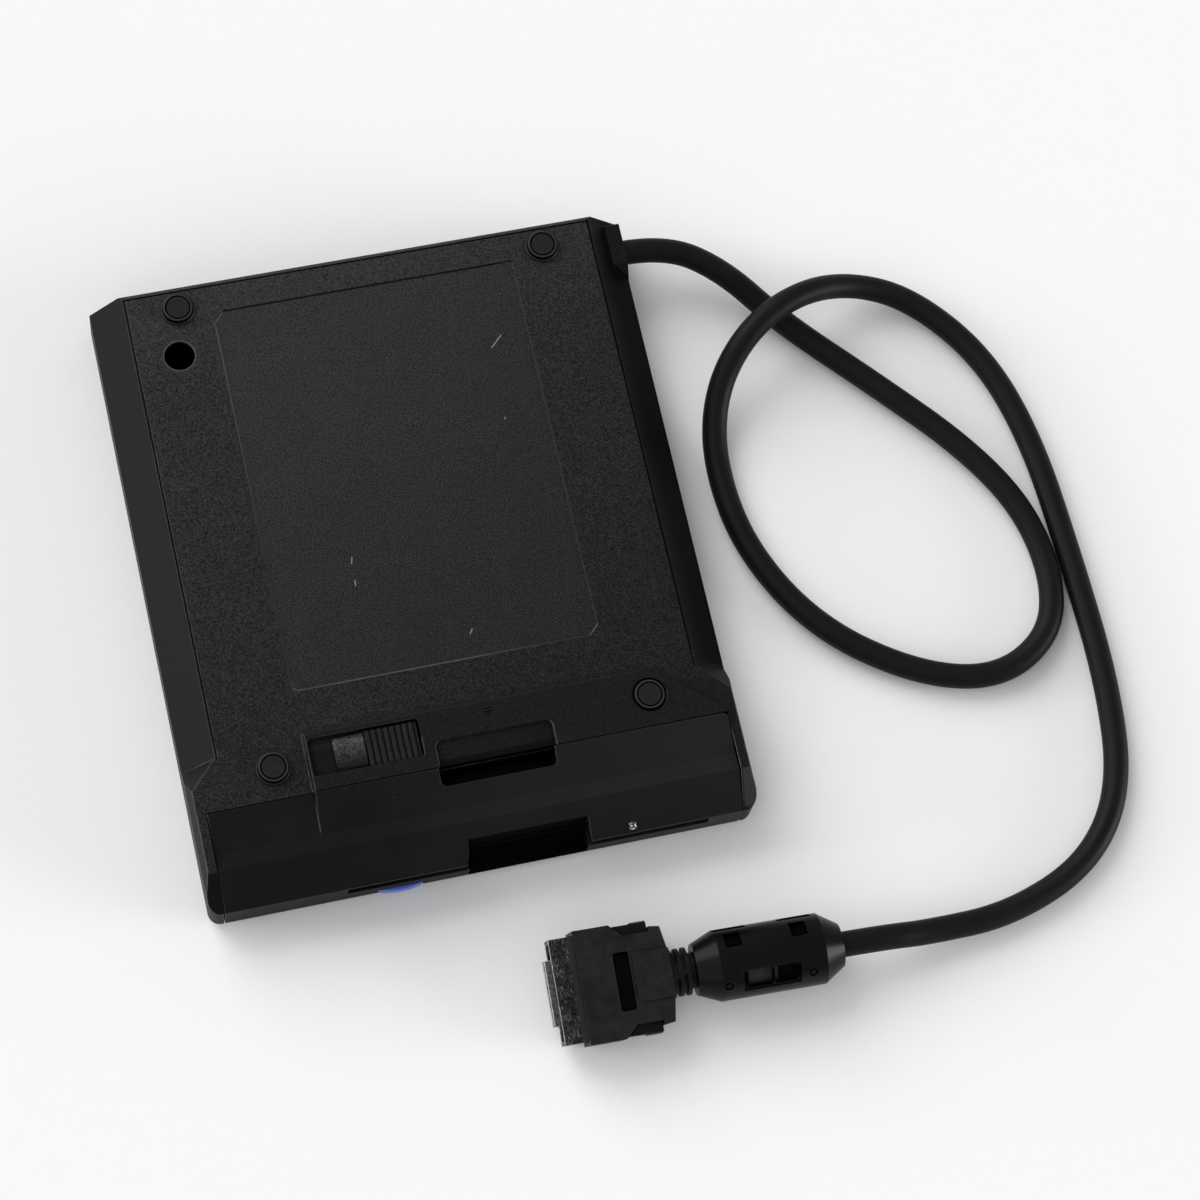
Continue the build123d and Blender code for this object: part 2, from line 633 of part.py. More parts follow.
def cord_radii():
    """The largest tangent arc that each corner of the route leaves room for."""
    radii = []
    points = [Vector(*p) for p in CORD_ROUTE]
    for before, here, after in zip(points, points[1:], points[2:]):
        turn = (here - before).get_angle(after - here)
        shorter = min((here - before).length, (after - here).length)
        radii.append(0.45 * shorter / math.tan(math.radians(turn) / 2))
    return radii


def make_cord():
    radii = cord_radii()
    print("cord radii", [round(r, 1) for r in radii])
    path = FilletPolyline(*CORD_ROUTE, radius=radii)
    section = Plane(origin=CORD_ROUTE[0], z_dir=(1, 0, 0)) * Circle(CORD_R)
    tube = sweep(section, path=path)
    expected = math.pi * CORD_R ** 2 * path.length
    print("cord length", round(path.length, 1), "volume share", round(tube.volume / expected, 4))
    return tube


def askew(part):
    """Turns a part of the straight run to the way the run lies."""
    return Pos(*LINE_PIVOT, 0) * Rot(0, 0, LINE_TURN) * Pos(-LINE_PIVOT[0], -LINE_PIVOT[1], 0) * part


def rolled(part):
    """Rolls a part about the straight run, the way the plug rests on one long edge."""
    return Pos(0, LINE_Y, LINE_Z) * Rot(PLUG_ROLL, 0, 0) * Pos(0, -LINE_Y, -LINE_Z) * part


def sleeve_half(upper):
    """Half of the split sleeve: two tapered ends, a straight middle and room for the core."""
    y, z = LINE_Y, LINE_Z
    shell = rod((SLEEVE_MIDDLE[0], y, z), (SLEEVE_MIDDLE[1], y, z), SLEEVE_R)
    shell += cone((45.8, y, z), (SLEEVE_MIDDLE[0], y, z), 6.6, SLEEVE_R)
    shell += cone((SLEEVE_MIDDLE[1], y, z), (SLEEVE_END_X, y, z), SLEEVE_R, 5.6)
    shell -= rod((49.8, y, z), (80.2, y, z), CORE_R + 0.3)
    shell -= rod((45, y, z), (85, y, z), CORD_R + 0.3)
    half = box(45, 85, y - 10, y + 10, z + 0.05, z + 12)
    if not upper:
        half = box(45, 85, y - 10, y + 10, z - 12, z - 0.05)
    return shell & half


def on_sleeve(x, angle, part):
    """A part built round the sleeve's axis, moved to x and turned away from straight up."""
    return Pos(x, LINE_Y, LINE_Z) * Rot(angle, 0, 0) * part


def make_ferrite_case_upper():
    """The hinged half: a window on the near side, two snap tongues on the far side."""
    half = sleeve_half(True)
    top = SLEEVE_R + 3
    frame = box(-8.0, 7.0, -3.2, 3.2, SLEEVE_R - 0.9, top)
    opening = box(-6.6, -0.5, -2.6, 2.6, 5, top) + box(0.2, 5.9, -2.6, 2.6, 5, top)
    half -= on_sleeve(64.8, WINDOW_TURN, frame)
    half -= on_sleeve(64.8, WINDOW_TURN, opening)
    for x in (52.9, 74.8):
        dimple = rod((0, 0, SLEEVE_R - 0.5), (0, 0, top), 1.25) - rod((0, 0, 5), (0, 0, 9), 0.6)
        half -= on_sleeve(x, WINDOW_TURN + 4, dimple)
    for x in SNAPS:
        slit = box(-4.4, 4.4, -1.5, 1.5, SLEEVE_R - 0.8, top)
        pocket = box(-2.2, 2.2, -2.4, 2.4, SLEEVE_R - 1.4, top)
        tooth = box(-1.3, 1.3, -1.2, 1.0, CORE_R + 0.3, SLEEVE_R - 1.0)
        half -= on_sleeve(x, -68, slit)
        half -= on_sleeve(x, -31, pocket)
        half += on_sleeve(x, -31, tooth)
    return half


def ferrite_core(upper):
    y, z = LINE_Y, LINE_Z
    core = rod((50.0, y, z), (80.0, y, z), CORE_R) - rod((49, y, z), (81, y, z), CORD_R + 0.3)
    half = box(49, 81, y - 8, y + 8, z + 0.1, z + 8)
    if not upper:
        half = box(49, 81, y - 8, y + 8, z - 8, z - 0.1)
    return core & half


def make_cord_in_ferrite():
    return rod((PLUG_TAIL_X, LINE_Y, LINE_Z), (SLEEVE_END_X, LINE_Y, LINE_Z), CORD_R)


def plug_outline():
    """The plug cover from above: wide at the front, notched for the squeeze buttons."""
    y = LINE_Y
    w = PLUG_HALF_W
    hook, corner = PLUG_HOOK_X
    side = [(PLUG_FRONT_X, w), (25.2, w), (28.4, w - 3.2), (hook, w - 3.2), (hook, w - 1.9),
            (corner, w - 2.3), (PLUG_END_X, 6.2)]
    return [(x, y + h) for x, h in side] + [(x, y - h) for x, h in side[::-1]]


def plug_cover(upper):
    z0, z1 = (LINE_Z, LINE_Z + PLUG_HALF_H) if upper else (LINE_Z - PLUG_HALF_H, LINE_Z)
    y, z = LINE_Y, LINE_Z
    cover = prism_z(plug_outline(), z0, z1)
    cover -= box(17.4, PLUG_HOOK_X[0] - 0.2, y - 9.0, y + 9.0, z - 5.2, z + 5.2)
    cover -= box(14, 18, y - 12.6, y + 12.6, z - SHELL_HALF_H - 0.1, z + SHELL_HALF_H + 0.1)
    cover -= rod((30, y, z), (42, y, z), CORD_R + 0.02)
    for side in (-1, 1):
        inner, outer = sorted((y + side * 7.6, y + side * (PLUG_HALF_W + 1)))
        cover -= box(26.4, PLUG_HOOK_X[0] + 0.1, inner, outer, z - BUTTON_HALF_H - 0.3,
                     z + BUTTON_HALF_H + 0.3)
    if upper:
        slot = box(25.0, 29.1, y - 7.6, y + 7.3, z1 - 1.1, z1 + 1)
        cover -= fillet(slot.edges().filter_by(Axis.Z), 0.8)
        pad = box(30.0, PLUG_END_X + 0.2, y - 5.8, y + 6.5, z1 - 0.2, z1 + 0.45)
        cover += fillet(pad.edges().filter_by(Axis.Z).sort_by(Axis.X)[:2], 1.2)
    return cover


def make_plug_shell():
    y, z = LINE_Y, LINE_Z
    w, h = SHELL_HALF_W, SHELL_HALF_H
    lip = box(9.9, PLUG_FRONT_X, y - w, y + w, z - h, z + h)
    rear = box(PLUG_FRONT_X, 17.4, y - 12.5, y + 12.5, z - h, z + h)
    return lip + rear - box(9, 18, y - w + 1.0, y + w - 1.0, z - h + 1.0, z + h - 1.0)


def make_plug_insulator():
    y, z = LINE_Y, LINE_Z
    base = box(12.6, 26.0, y - 8.9, y + 8.9, z - 3.1, z + 3.1)
    frame = box(8.3, 13.0, y - 8.3, y + 8.3, z - 2.4, z + 2.4)
    return base + frame - box(8, 12.0, y - 7.6, y + 7.6, z - 1.3, z + 1.3)


def make_plug_contacts():
    """Two rows of fingers in the plug's mouth, each row joined at its root."""
    y, z = LINE_Y, LINE_Z
    rows = []
    for height in (-1.0, 1.0):
        row = box(11.5, 12.0, y - 7.0, y + 7.0, z + height - 0.15, z + height + 0.15)
        for number in range(12):
            centre = y - 6.6 + 1.2 * number
            row += box(8.9, 11.6, centre - 0.3, centre + 0.3, z + height - 0.15,
                       z + height + 0.15)
        rows.append(askew(rolled(row)))
    return Compound(children=rows)


def make_plug_button(side):
    """A squeeze button: a wedge-ended cap, ribbed at its rear, on a block inside the cover."""
    w, h = PLUG_HALF_W, BUTTON_HALF_H
    end_x = PLUG_HOOK_X[0] - 0.1
    outline = [(26.5, w - 0.5), (end_x, w - 0.5), (end_x, w - 3.4), (29.3, w - 3.4)]
    cap = prism_z([(x, LINE_Y + side * out) for x, out in outline], LINE_Z - h, LINE_Z + h)
    for number in range(5):
        x = 31.1 + 0.8 * number
        tip = [(x, w - 0.55), (x + 0.7, w - 0.55), (x + 0.35, w - 0.1)]
        cap += prism_z([(a, LINE_Y + side * out) for a, out in tip], LINE_Z - h, LINE_Z + h)
    inner, outer = sorted((LINE_Y + side * 8.6, LINE_Y + side * (w - 3.0)))
    return cap + box(29.3, 34.8, inner, outer, LINE_Z - h, LINE_Z + h)


def make_plug_strain_relief():
    """A ringed boot; ribs above and below join its rings."""
    y, z = LINE_Y, LINE_Z
    boot = rod((PLUG_END_X, y, z), (PLUG_TAIL_X, y, z), 4.6)
    for number in range(3):
        x = PLUG_END_X + 0.3 + 1.95 * number
        boot += rod((x, y, z), (x + 0.95, y, z), 6.1)
    boot += box(39.3, 41.5, y - 1.8, y + 1.8, z - 5.8, z + 5.8)
    boot += box(41.5, 43.5, y - 0.9, y + 0.9, z - 5.8, z + 5.8)
    return boot - rod((38, y, z), (47, y, z), CORD_R + 0.02)


def make_cord_in_plug():
    return rod((31.0, LINE_Y, LINE_Z), (PLUG_TAIL_X, LINE_Y, LINE_Z), CORD_R)


head_lower, head_upper = make_heads()
nodes = {
    "bottom_case": make_bottom_case(),
    "top_cover": make_top_cover(),
    "case_screws": make_case_screws(),
    "cable_grommet": make_cable_grommet(),
    "cable_clamp": make_cable_clamp(),
    "cord_tail": make_cord_tail(),
    "lead_wires": make_lead_wires(),
    "dock_board": make_dock_board(),
    "dock_socket": make_dock_socket(),
    "guide_rail_left": make_guide_rail(-1),
    "guide_rail_right": make_guide_rail(1),
    "shield_plate": make_shield_plate(),
    "latch_slider": make_latch_slider(),
    "latch_retainer": make_latch_retainer(),
    "bezel": make_bezel(),
    "led_lens": make_led_lens(),
    "eject_button": make_eject_button(),
    "slide_plate": make_slide_plate(),
    "disk_holder": make_disk_holder(),
    "dust_flap": make_dust_flap(),
    "flap_pin": make_flap_pin(),
    "drive_tray": make_drive_tray(),
    "drive_cover": make_drive_cover(),
    "spindle_motor_base": make_spindle_motor_base(),
    "spindle_rotor": make_spindle_rotor(),
    "spindle_hub": make_spindle_hub(),
    "stepper_motor": make_stepper_motor(),
    "lead_screw": make_lead_screw(),
    "screw_bracket": make_screw_bracket(),
    "guide_rod": make_guide_rod(),
    "head_carriage": make_head_carriage(),
    "upper_head_arm": make_upper_head_arm(),
    "head_lower": head_lower,
    "head_upper": head_upper,
    "main_board": make_main_board(),
    "main_chips": make_main_chips(),
    "dock_plug": make_dock_plug(),
    "sensor_switches": make_sensor_switches(),
    "drive_screws": make_drive_screws(),
    "cord": make_cord(),
}
on_the_run = {
    "ferrite_case_upper": make_ferrite_case_upper(),
    "ferrite_case_lower": sleeve_half(False),
    "ferrite_core_upper": ferrite_core(True),
    "ferrite_core_lower": ferrite_core(False),
    "cord_in_ferrite": make_cord_in_ferrite(),
    "plug_cover_upper": plug_cover(True),
    "plug_cover_lower": plug_cover(False),
    "plug_shell": make_plug_shell(),
    "plug_insulator": make_plug_insulator(),
    "plug_button_left": make_plug_button(1),
    "plug_button_right": make_plug_button(-1),
    "plug_strain_relief": make_plug_strain_relief(),
    "cord_in_plug": make_cord_in_plug(),
}
for name, part in on_the_run.items():
    nodes[name] = askew(rolled(part) if name.startswith("plug") else part)
nodes["plug_contacts"] = make_plug_contacts()
feet = [(-FOOT_X, FOOT_REAR_Y), (FOOT_X, FOOT_REAR_Y), (-FOOT_X, FOOT_FRONT_Y),
        (FOOT_X, FOOT_FRONT_Y)]
for number, place in enumerate(feet, start=1):
    nodes[f"rubber_foot_{number}"] = make_foot(*place)

os.makedirs("parts", exist_ok=True)
for name, solid in nodes.items():
    export_step(solid, f"parts/{name}.step")
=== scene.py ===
import json
import math
import bmesh
import bpy
import numpy as np
from mathutils import Matrix, Vector


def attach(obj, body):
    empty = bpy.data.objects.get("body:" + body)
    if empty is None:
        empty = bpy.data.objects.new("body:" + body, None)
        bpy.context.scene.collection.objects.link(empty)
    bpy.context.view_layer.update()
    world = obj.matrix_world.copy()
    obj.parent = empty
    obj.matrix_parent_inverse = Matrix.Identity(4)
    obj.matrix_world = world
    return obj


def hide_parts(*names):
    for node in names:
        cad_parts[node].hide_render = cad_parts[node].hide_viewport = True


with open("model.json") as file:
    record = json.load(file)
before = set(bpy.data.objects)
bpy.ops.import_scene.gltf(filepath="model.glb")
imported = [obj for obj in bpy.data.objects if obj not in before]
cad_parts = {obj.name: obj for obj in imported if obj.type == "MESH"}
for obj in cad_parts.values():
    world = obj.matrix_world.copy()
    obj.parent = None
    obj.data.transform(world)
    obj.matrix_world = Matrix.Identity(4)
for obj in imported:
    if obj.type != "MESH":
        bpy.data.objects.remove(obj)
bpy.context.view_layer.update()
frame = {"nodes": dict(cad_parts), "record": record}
MM = 0.001

# ---------------------------------------------------------------- camera, cable, light

PICTURE_PX = 1200
FOCAL_PX = 3767.5
SENSOR_MM = 36.0
FARTHEST = 20.0
CAMERA_PLACE = Vector((-107.21, -292.43, 938.93)) * MM
CAMERA_RIGHT = Vector((0.97078, -0.22118, 0.09306))
CAMERA_UP = Vector((0.18368, 0.93449, 0.30493))


def put(name, data):
    """A new object in the scene."""
    thing = bpy.data.objects.new(name, data)
    bpy.context.scene.collection.objects.link(thing)
    return thing


def make_camera():
    """A long lens high over the front left corner."""
    camera = put("camera", bpy.data.cameras.new("camera"))
    back = CAMERA_RIGHT.cross(CAMERA_UP).normalized()
    turn = Matrix((CAMERA_RIGHT, CAMERA_UP, back)).transposed()
    camera.matrix_world = Matrix.Translation(CAMERA_PLACE) @ turn.to_4x4()
    camera.data.sensor_width = SENSOR_MM
    camera.data.lens = FOCAL_PX / PICTURE_PX * SENSOR_MM
    camera.data.clip_end = FARTHEST
    bpy.context.scene.camera = camera
    bpy.context.scene.view_settings.view_transform = "Standard"


CORD_D = 6.6 * MM
LINE_TURN = math.radians(-1.9)
LINE_PIVOT = (65.0, -119.9)
LINE_Z = 9.1


def on_line(x):
    """A point of the straight run through sleeve and plug, in millimetres."""
    reach = x - LINE_PIVOT[0]
    return (LINE_PIVOT[0] + reach * math.cos(LINE_TURN),
            LINE_PIVOT[1] + reach * math.sin(LINE_TURN), LINE_Z)


CORD_ROUTE = [
    (71.0, 73.9, 13.0), (83.0, 73.9, 13.0), (97.5, 65.6, 9.0), (110.5, 50.5, 3.4),
    (132.0, 27.5, 3.4), (151.0, 6.0, 3.4), (162.2, -13.5, 3.4), (165.2, -34.0, 3.4),
    (160.3, -49.8, 3.4), (143.8, -58.6, 3.4), (122.5, -53.0, 3.4), (99.5, -35.5, 3.4),
    (86.0, -10.5, 3.4), (83.5, 15.0, 3.4), (88.0, 33.0, 8.0), (98.5, 45.0, 16.0),
    (114.0, 53.0, 16.0), (131.0, 56.0, 8.0), (147.5, 50.0, 3.4), (162.5, 30.5, 3.4),
    (169.5, 4.5, 3.4), (171.3, -30.0, 3.4), (172.0, -65.0, 3.4), (168.0, -93.5, 3.4),
    (154.5, -111.5, 3.4), (131.0, -120.6, 3.4), (108.0, -121.2, 5.2), on_line(96.0),
    on_line(84.0),
]


def make_cord():
    """The cable: a round section carried along a smooth line over the route's points."""
    curve = bpy.data.curves.new("cable_jacket", "CURVE")
    curve.dimensions = "3D"
    spline = curve.splines.new("NURBS")
    spline.points.add(len(CORD_ROUTE) - 1)
    for point, place in zip(spline.points, CORD_ROUTE):
        point.co = (*(Vector(place) * MM), 1.0)
    spline.order_u = 3
    spline.use_endpoint_u = True
    spline.resolution_u = 12
    curve.bevel_depth = CORD_D / 2
    curve.bevel_resolution = 8
    curve.use_fill_caps = True
    return put("cable_jacket", curve)


FLOOR_HALF, FLOOR_Z = 3.0, -0.0002


def make_floor():
    """A wide sheet of paper a hair below the lid, so that the two don't coincide."""
    mesh = bpy.data.meshes.new("floor")
    corners = [(-1, -1), (1, -1), (1, 1), (-1, 1)]
    mesh.from_pydata([(x * FLOOR_HALF, y * FLOOR_HALF, FLOOR_Z) for x, y in corners], [],
                     [(0, 1, 2, 3)])
    floor = put("floor", mesh)
    floor.data.materials.append(floor_finish().material)


# Each light: where it comes from, its apparent size in degrees and its power.
SUNS = {"key": ((-0.38, 0.70, 0.60), 44, 1.75), "side": ((-0.72, -0.10, 0.68), 90, 1.0),
        "low": ((-0.93, 0.29, 0.16), 24, 1.5), "right": ((0.92, -0.38, 0.10), 36, 3.0)}
WORLD_STRENGTH = 0.36


def make_suns():
    """Distant soft lights."""
    for name, (toward, angle, power) in SUNS.items():
        data = bpy.data.lights.new(name, "SUN")
        data.energy = power
        data.angle = math.radians(angle)
        turn = Vector(toward).to_track_quat("Z", "Y").to_matrix().to_4x4()
        put(name, data).matrix_world = Matrix.Translation(Vector(toward) * 2) @ turn


def make_world():
    """An even white surround."""
    world = bpy.data.worlds.new("studio")
    world.use_nodes = True
    background = world.node_tree.nodes["Background"]
    background.inputs["Color"].default_value = (1, 1, 1, 1)
    background.inputs["Strength"].default_value = WORLD_STRENGTH
    bpy.context.scene.world = world


# ---------------------------------------------------------------- shader maths


class Shade:
    """A number that varies over a surface. Arithmetic on it adds Math nodes."""

    def __init__(self, paint, socket):
        self.paint = paint
        self.socket = socket

    def math(self, operation, first, second=None):
        values = {0: first} if second is None else {0: first, 1: second}
        return self.paint.add("ShaderNodeMath", {"operation": operation}, values)["Value"]

    def __add__(self, other):
        return self.math("ADD", self, other)

    __radd__ = __add__

    def __mul__(self, other):
        return self.math("MULTIPLY", self, other)

    __rmul__ = __mul__

    def __sub__(self, other):
        return self.math("SUBTRACT", self, other)

    def __rsub__(self, other):
        return self.math("SUBTRACT", other, self)

    def __abs__(self):
        return self.math("ABSOLUTE", self)

    def root(self):
        return self.math("SQRT", self)

    def above(self, level):
        return self.math("GREATER_THAN", self, level)

    def highest(self, other):
        return self.math("MAXIMUM", self, other)

    def lowest(self, other):
        return self.math("MINIMUM", self, other)

    def clamped(self):
        return self.highest(0.0).lowest(1.0)

    def diagonal(self, other):
        """The length of a step of self one way and other square to it."""
        return (self * self + other * other).root()


class Outputs:
    """The outputs of one node, by name or number."""

    def __init__(self, paint, made):
        self.paint = paint
        self.made = made

    def __getitem__(self, name):
        return Shade(self.paint, self.made.outputs[name])


COAT_ROUGHNESS = 0.25
SHADE_AND_GRIME_BLACK = 0.0008
PROBES = {"samples": 6}


class Paint:
    """One material while it is being put together. Sharp edges of a piece that wears it
    look rounded to a radius in millimetres."""

    def __init__(self, name, radius=0.15):
        self.radius = radius
        self.round = None
        self.axes = None
        self.material = bpy.data.materials.new(name)
        self.material.use_nodes = True
        self.tree = self.material.node_tree
        self.shader = self.tree.nodes["Principled BSDF"]

    def add(self, kind, settings=None, values=None):
        """A node of one type: its settings first, then its sockets' values or links."""
        made = self.tree.nodes.new(kind)
        for key, value in (settings or {}).items():
            if key == "stops":
                ramp = made.color_ramp
                while len(ramp.elements) < len(value):
                    ramp.elements.new(0.5)
                for element, (place, colour) in zip(ramp.elements, value):
                    element.position = place
                    element.color = (*colour, 1.0)
            else:
                setattr(made, key, value)
        for key, value in (values or {}).items():
            self.link(value, made.inputs[key])
        return Outputs(self, made)

    def link(self, value, socket):
        """A link to a socket, or a plain value on it. Colours are given without alpha."""
        if isinstance(value, Shade):
            self.tree.links.new(value.socket, socket)
        elif isinstance(value, tuple) and len(value) == 3 and socket.type == "RGBA":
            socket.default_value = (*value, 1.0)
        else:
            socket.default_value = value

    def set(self, **values):
        """Sockets of the main shader, with _ for a space in their names."""
        for key, value in values.items():
            self.link(value, self.shader.inputs[key.replace("_", " ")])

    def place(self):
        """The place on the surface in millimetres: x, y and z."""
        if self.axes is None:
            place = self.add("ShaderNodeTexCoord")["Object"]
            parts = self.add("ShaderNodeSeparateXYZ", None, {"Vector": place})
            self.axes = [parts[name] * (1 / MM) for name in "XYZ"]
        return self.axes

    def noise(self, scale, detail=2.0, roughness=0.5, stretch=(1.0, 1.0, 1.0), turn=0.0):
        """Cloudy noise with features of about 1 / scale metres, stretched along its own
        axes, which are turned about Z by an angle in degrees."""
        mapping = {"Vector": self.add("ShaderNodeTexCoord")["Object"], "Scale": stretch,
                   "Rotation": (0.0, 0.0, math.radians(turn))}
        values = {"Vector": self.add("ShaderNodeMapping", None, mapping)["Vector"],
                  "Scale": scale, "Detail": detail, "Roughness": roughness}
        return self.add("ShaderNodeTexNoise", None, values)["Fac"]

    def level(self, value, low, high):
        """0 below low, 1 above high and even between them."""
        return ((value - low) * (1 / (high - low))).clamped()

    def below(self, value, low, high):
        """1 below low, 0 above high and even between them."""
        return 1 - self.level(value, low, high)

    def within(self, value, low, high, soft):
        """1 between low and high, fading to 0 at both over a soft width."""
        return self.level(value, low, low + soft) * self.below(value, high - soft, high)

    def band(self, value, middle, half, fade):
        """1 up to half from the middle and 0 from fade on."""
        return self.below(abs(value - middle), half, fade)

    def ramp(self, value, *stops):
        """The colour at a value on a scale of stops, each a value and its colour."""
        return self.add("ShaderNodeValToRGB", {"stops": stops}, {"Fac": value})["Color"]

    def mix(self, factor, first, second):
        """A blend of two colours. The node's colour sockets go by number, because its
        sockets for numbers, vectors and colours have the same names."""
        settings = {"data_type": "RGBA"}
        return self.add("ShaderNodeMix", settings, {0: factor, 6: first, 7: second})[2]

    def rounded(self):
        """The normal of the piece with its sharp edges rounded off."""
        if self.round is None:
            values = {"Radius": self.radius * MM}
            self.round = self.add("ShaderNodeBevel", PROBES, values)["Normal"]
        return self.round

    def rim(self, low=0.03, high=0.2):
        """1 on the rounded edges of the piece and 0 on its faces."""
        values = {0: self.rounded(), 1: self.add("ShaderNodeNewGeometry")["Normal"]}
        along = self.add("ShaderNodeVectorMath", {"operation": "DOT_PRODUCT"}, values)["Value"]
        return self.level(1 - along, low, high)

    def polished(self, amount):
        """Handling has polished the edges: a clear gloss on them alone."""
        self.set(Coat_Weight=self.rim() * amount, Coat_Roughness=COAT_ROUGHNESS)

    def edge_highlight(self, uneven, ends):
        """1 on the rounded edges that face left, towards the light, where a pale highlight is
        painted, and where ends is 1 also on those that face right."""
        sideways = self.add("ShaderNodeSeparateXYZ", None, {"Vector": self.rounded()})["X"]
        facing = self.level((0 - sideways).highest(sideways * ends), 0.25, 0.5)
        return self.rim(0.04, 0.14) * facing * uneven

    def crevice(self, reach=1.2, low=0.4, high=0.8):
        """1 in inner corners narrower than reach, in millimetres, and 0 in the open."""
        values = {"Distance": reach * MM, "Normal": self.rounded()}
        open_sky = self.add("ShaderNodeAmbientOcclusion", PROBES, values)["AO"]
        return self.below(open_sky, low, high)

    def painted_shade_and_grime(self, mask):
        """Dull black over the gloss where the mask is 1: mostly painted shade in corners and
        recesses, also dark seams and ink.
        """
        dull_black = self.add("ShaderNodeBsdfDiffuse", None, {"Color": grey(SHADE_AND_GRIME_BLACK)})["BSDF"]
        clean = Shade(self, self.shader.outputs["BSDF"])
        both = self.add("ShaderNodeMixShader", None, {0: mask, 1: clean, 2: dull_black})["Shader"]
        self.link(both, self.tree.nodes["Material Output"].inputs["Surface"])

    def bump(self, height, depth):
        """A normal from a height of 0 to 1 that stands for depth in millimetres."""
        values = {"Height": height, "Distance": depth * MM, "Strength": 1.0,
                  "Normal": self.rounded()}
        self.set(Normal=self.add("ShaderNodeBump", None, values)["Normal"])

    def line(self, start, end, width):
        """1 within width of a straight line in X and Y, in millimetres, fading to 0."""
        (x0, y0), (x1, y1) = start, end
        dx, dy = x1 - x0, y1 - y0
        x, y, _ = self.place()
        x, y = x - x0, y - y0
        along = ((x * dx + y * dy) * (1 / (dx * dx + dy * dy))).clamped()
        distance = (x - along * dx).diagonal(y - along * dy)
        return self.below(distance, width * 0.5, width)


def grey(level):
    """A grey with a breath of blue."""
    return (level, level, level * 1.03)


def speckled(paint, speck, dark, light):
    """A grey that goes from dark to light with the specks of a grain."""
    return paint.ramp(speck, (0.0, grey(dark)), (1.0, grey(light)))


# ---------------------------------------------------------------- the underside's finish

CASE_TOP = 23.0
PLATE_X, PLATE_FRONT_Y, BORDER_FRONT_Y = 62.4, -44.8, -40.0
SIDE_DARK_X = 66.0
STRIP_X, STRIP_HOLLOW_Y, STRIP_REAR_Y, STRIP_RIDGE_Y = -40.2, -47.6, -43.0, -45.4
STRIP_CORNER_X = 52.0
BOSS_X, BOSS_Y = 64.1, 65.3
ARM_TIP_X, ARM_TIP_Y, ARM_TIP_Z = 68.0, -73.6, 14.0
SERVICE_HOLE, HOLE_R = (-50.6, 63.05), 4.0
PULL, PULL_Y, PULL_REACH, SEAM_Y = (-8.1, 22.8), (-66.0, -50.0), 3.0, -58.35
EDGE_LIGHT_X, EDGE_LIGHT_Y = -38.0, -49.5
LABEL_MIDDLE_Y, LABEL_HALF_X, LABEL_HALF_Y = 20.87, 40.0, 52.48
LABEL_FRONT_Y, LABEL_REAR_Y = LABEL_MIDDLE_Y - LABEL_HALF_Y, LABEL_MIDDLE_Y + LABEL_HALF_Y
CUT_LEFT_FRONT, CUT_LEFT_REAR, CUT_RIGHT_FRONT = 1.2, 3.0, 2.5
GLINT_X, GLINT_HALF, GLINT_FADE = -12.0, 14.0, 44.0
SCRATCHES = [((29.6, 50.3), (32.6, 53.2)), ((28.6, 30.2), (28.9, 30.6)),
             ((7.4, -25.2), (8.2, -24.0)), ((-18.4, -1.0), (-18.0, 0.6)),
             ((-18.6, -6.9), (-18.5, -5.6))]
SCRATCH_WIDTH = 0.2


def plate_mask(paint):
    """1 on the flat top of the underside, 0 on its sloping sides and in deep hollows."""
    x, y, z = paint.place()
    slope = paint.level(abs(x), PLATE_X, PLATE_X + 0.1)
    slope = slope * paint.level(y, PLATE_FRONT_Y, PLATE_FRONT_Y + 0.1)
    return paint.level(z, CASE_TOP - 0.8, CASE_TOP - 0.65) * (1 - slope)


def strip_mask(paint):
    """1 on the raised strip along the front and in the hollows that are sunk in it."""
    x, y, z = paint.place()
    hollows = paint.below(y, STRIP_HOLLOW_Y - 0.4, STRIP_HOLLOW_Y)
    hollows = hollows * paint.level(x, STRIP_X - 0.4, STRIP_X)
    return paint.level(z, CASE_TOP + 0.4, CASE_TOP + 0.9).highest(hollows)


def label_edge(paint):
    """How far outside the label's place, in millimetres, and the same for its cut corners
    alone. The place is a rectangle that lacks three corners."""
    x, y, _ = paint.place()
    off_y = abs(y - LABEL_MIDDLE_Y)
    right, rear = x.above(0.0), y.above(LABEL_MIDDLE_Y)
    cut = (1 - right) * (CUT_LEFT_FRONT + rear * (CUT_LEFT_REAR - CUT_LEFT_FRONT))
    cut = cut + right * (1 - rear) * CUT_RIGHT_FRONT
    corner = (abs(x) + off_y - (LABEL_HALF_X + LABEL_HALF_Y) + cut) * math.sqrt(0.5)
    return (abs(x) - LABEL_HALF_X).highest(off_y - LABEL_HALF_Y).highest(corner), corner


def label_glint(paint, corner, pits):
    """How much of the light each stretch of the label's outline catches: most on the left
    towards the rear, in the middle of the front side and at the front right corner."""
    x, y, _ = paint.place()
    left, front = 1 - x.above(0.0), 1 - y.above(LABEL_MIDDLE_Y)
    near = paint.below(y, LABEL_FRONT_Y + 0.6, LABEL_FRONT_Y + 1.6)
    near = near * paint.band(x, GLINT_X, GLINT_HALF, GLINT_FADE)
    nook = (1 - left) * front * paint.level(corner, -0.3, -0.2)
    glint = (paint.level(y, -10.0, 60.0) * left).highest(near).highest(0.2).highest(nook * 0.8)
    return glint * (0.7 + 0.3 * pits)


def scratch_mask(paint):
    """1 along the few light scratches in the label's place."""
    marks = paint.line(*SCRATCHES[0], SCRATCH_WIDTH)
    for place in SCRATCHES[1:]:
        marks = marks.highest(paint.line(*place, SCRATCH_WIDTH))
    return marks


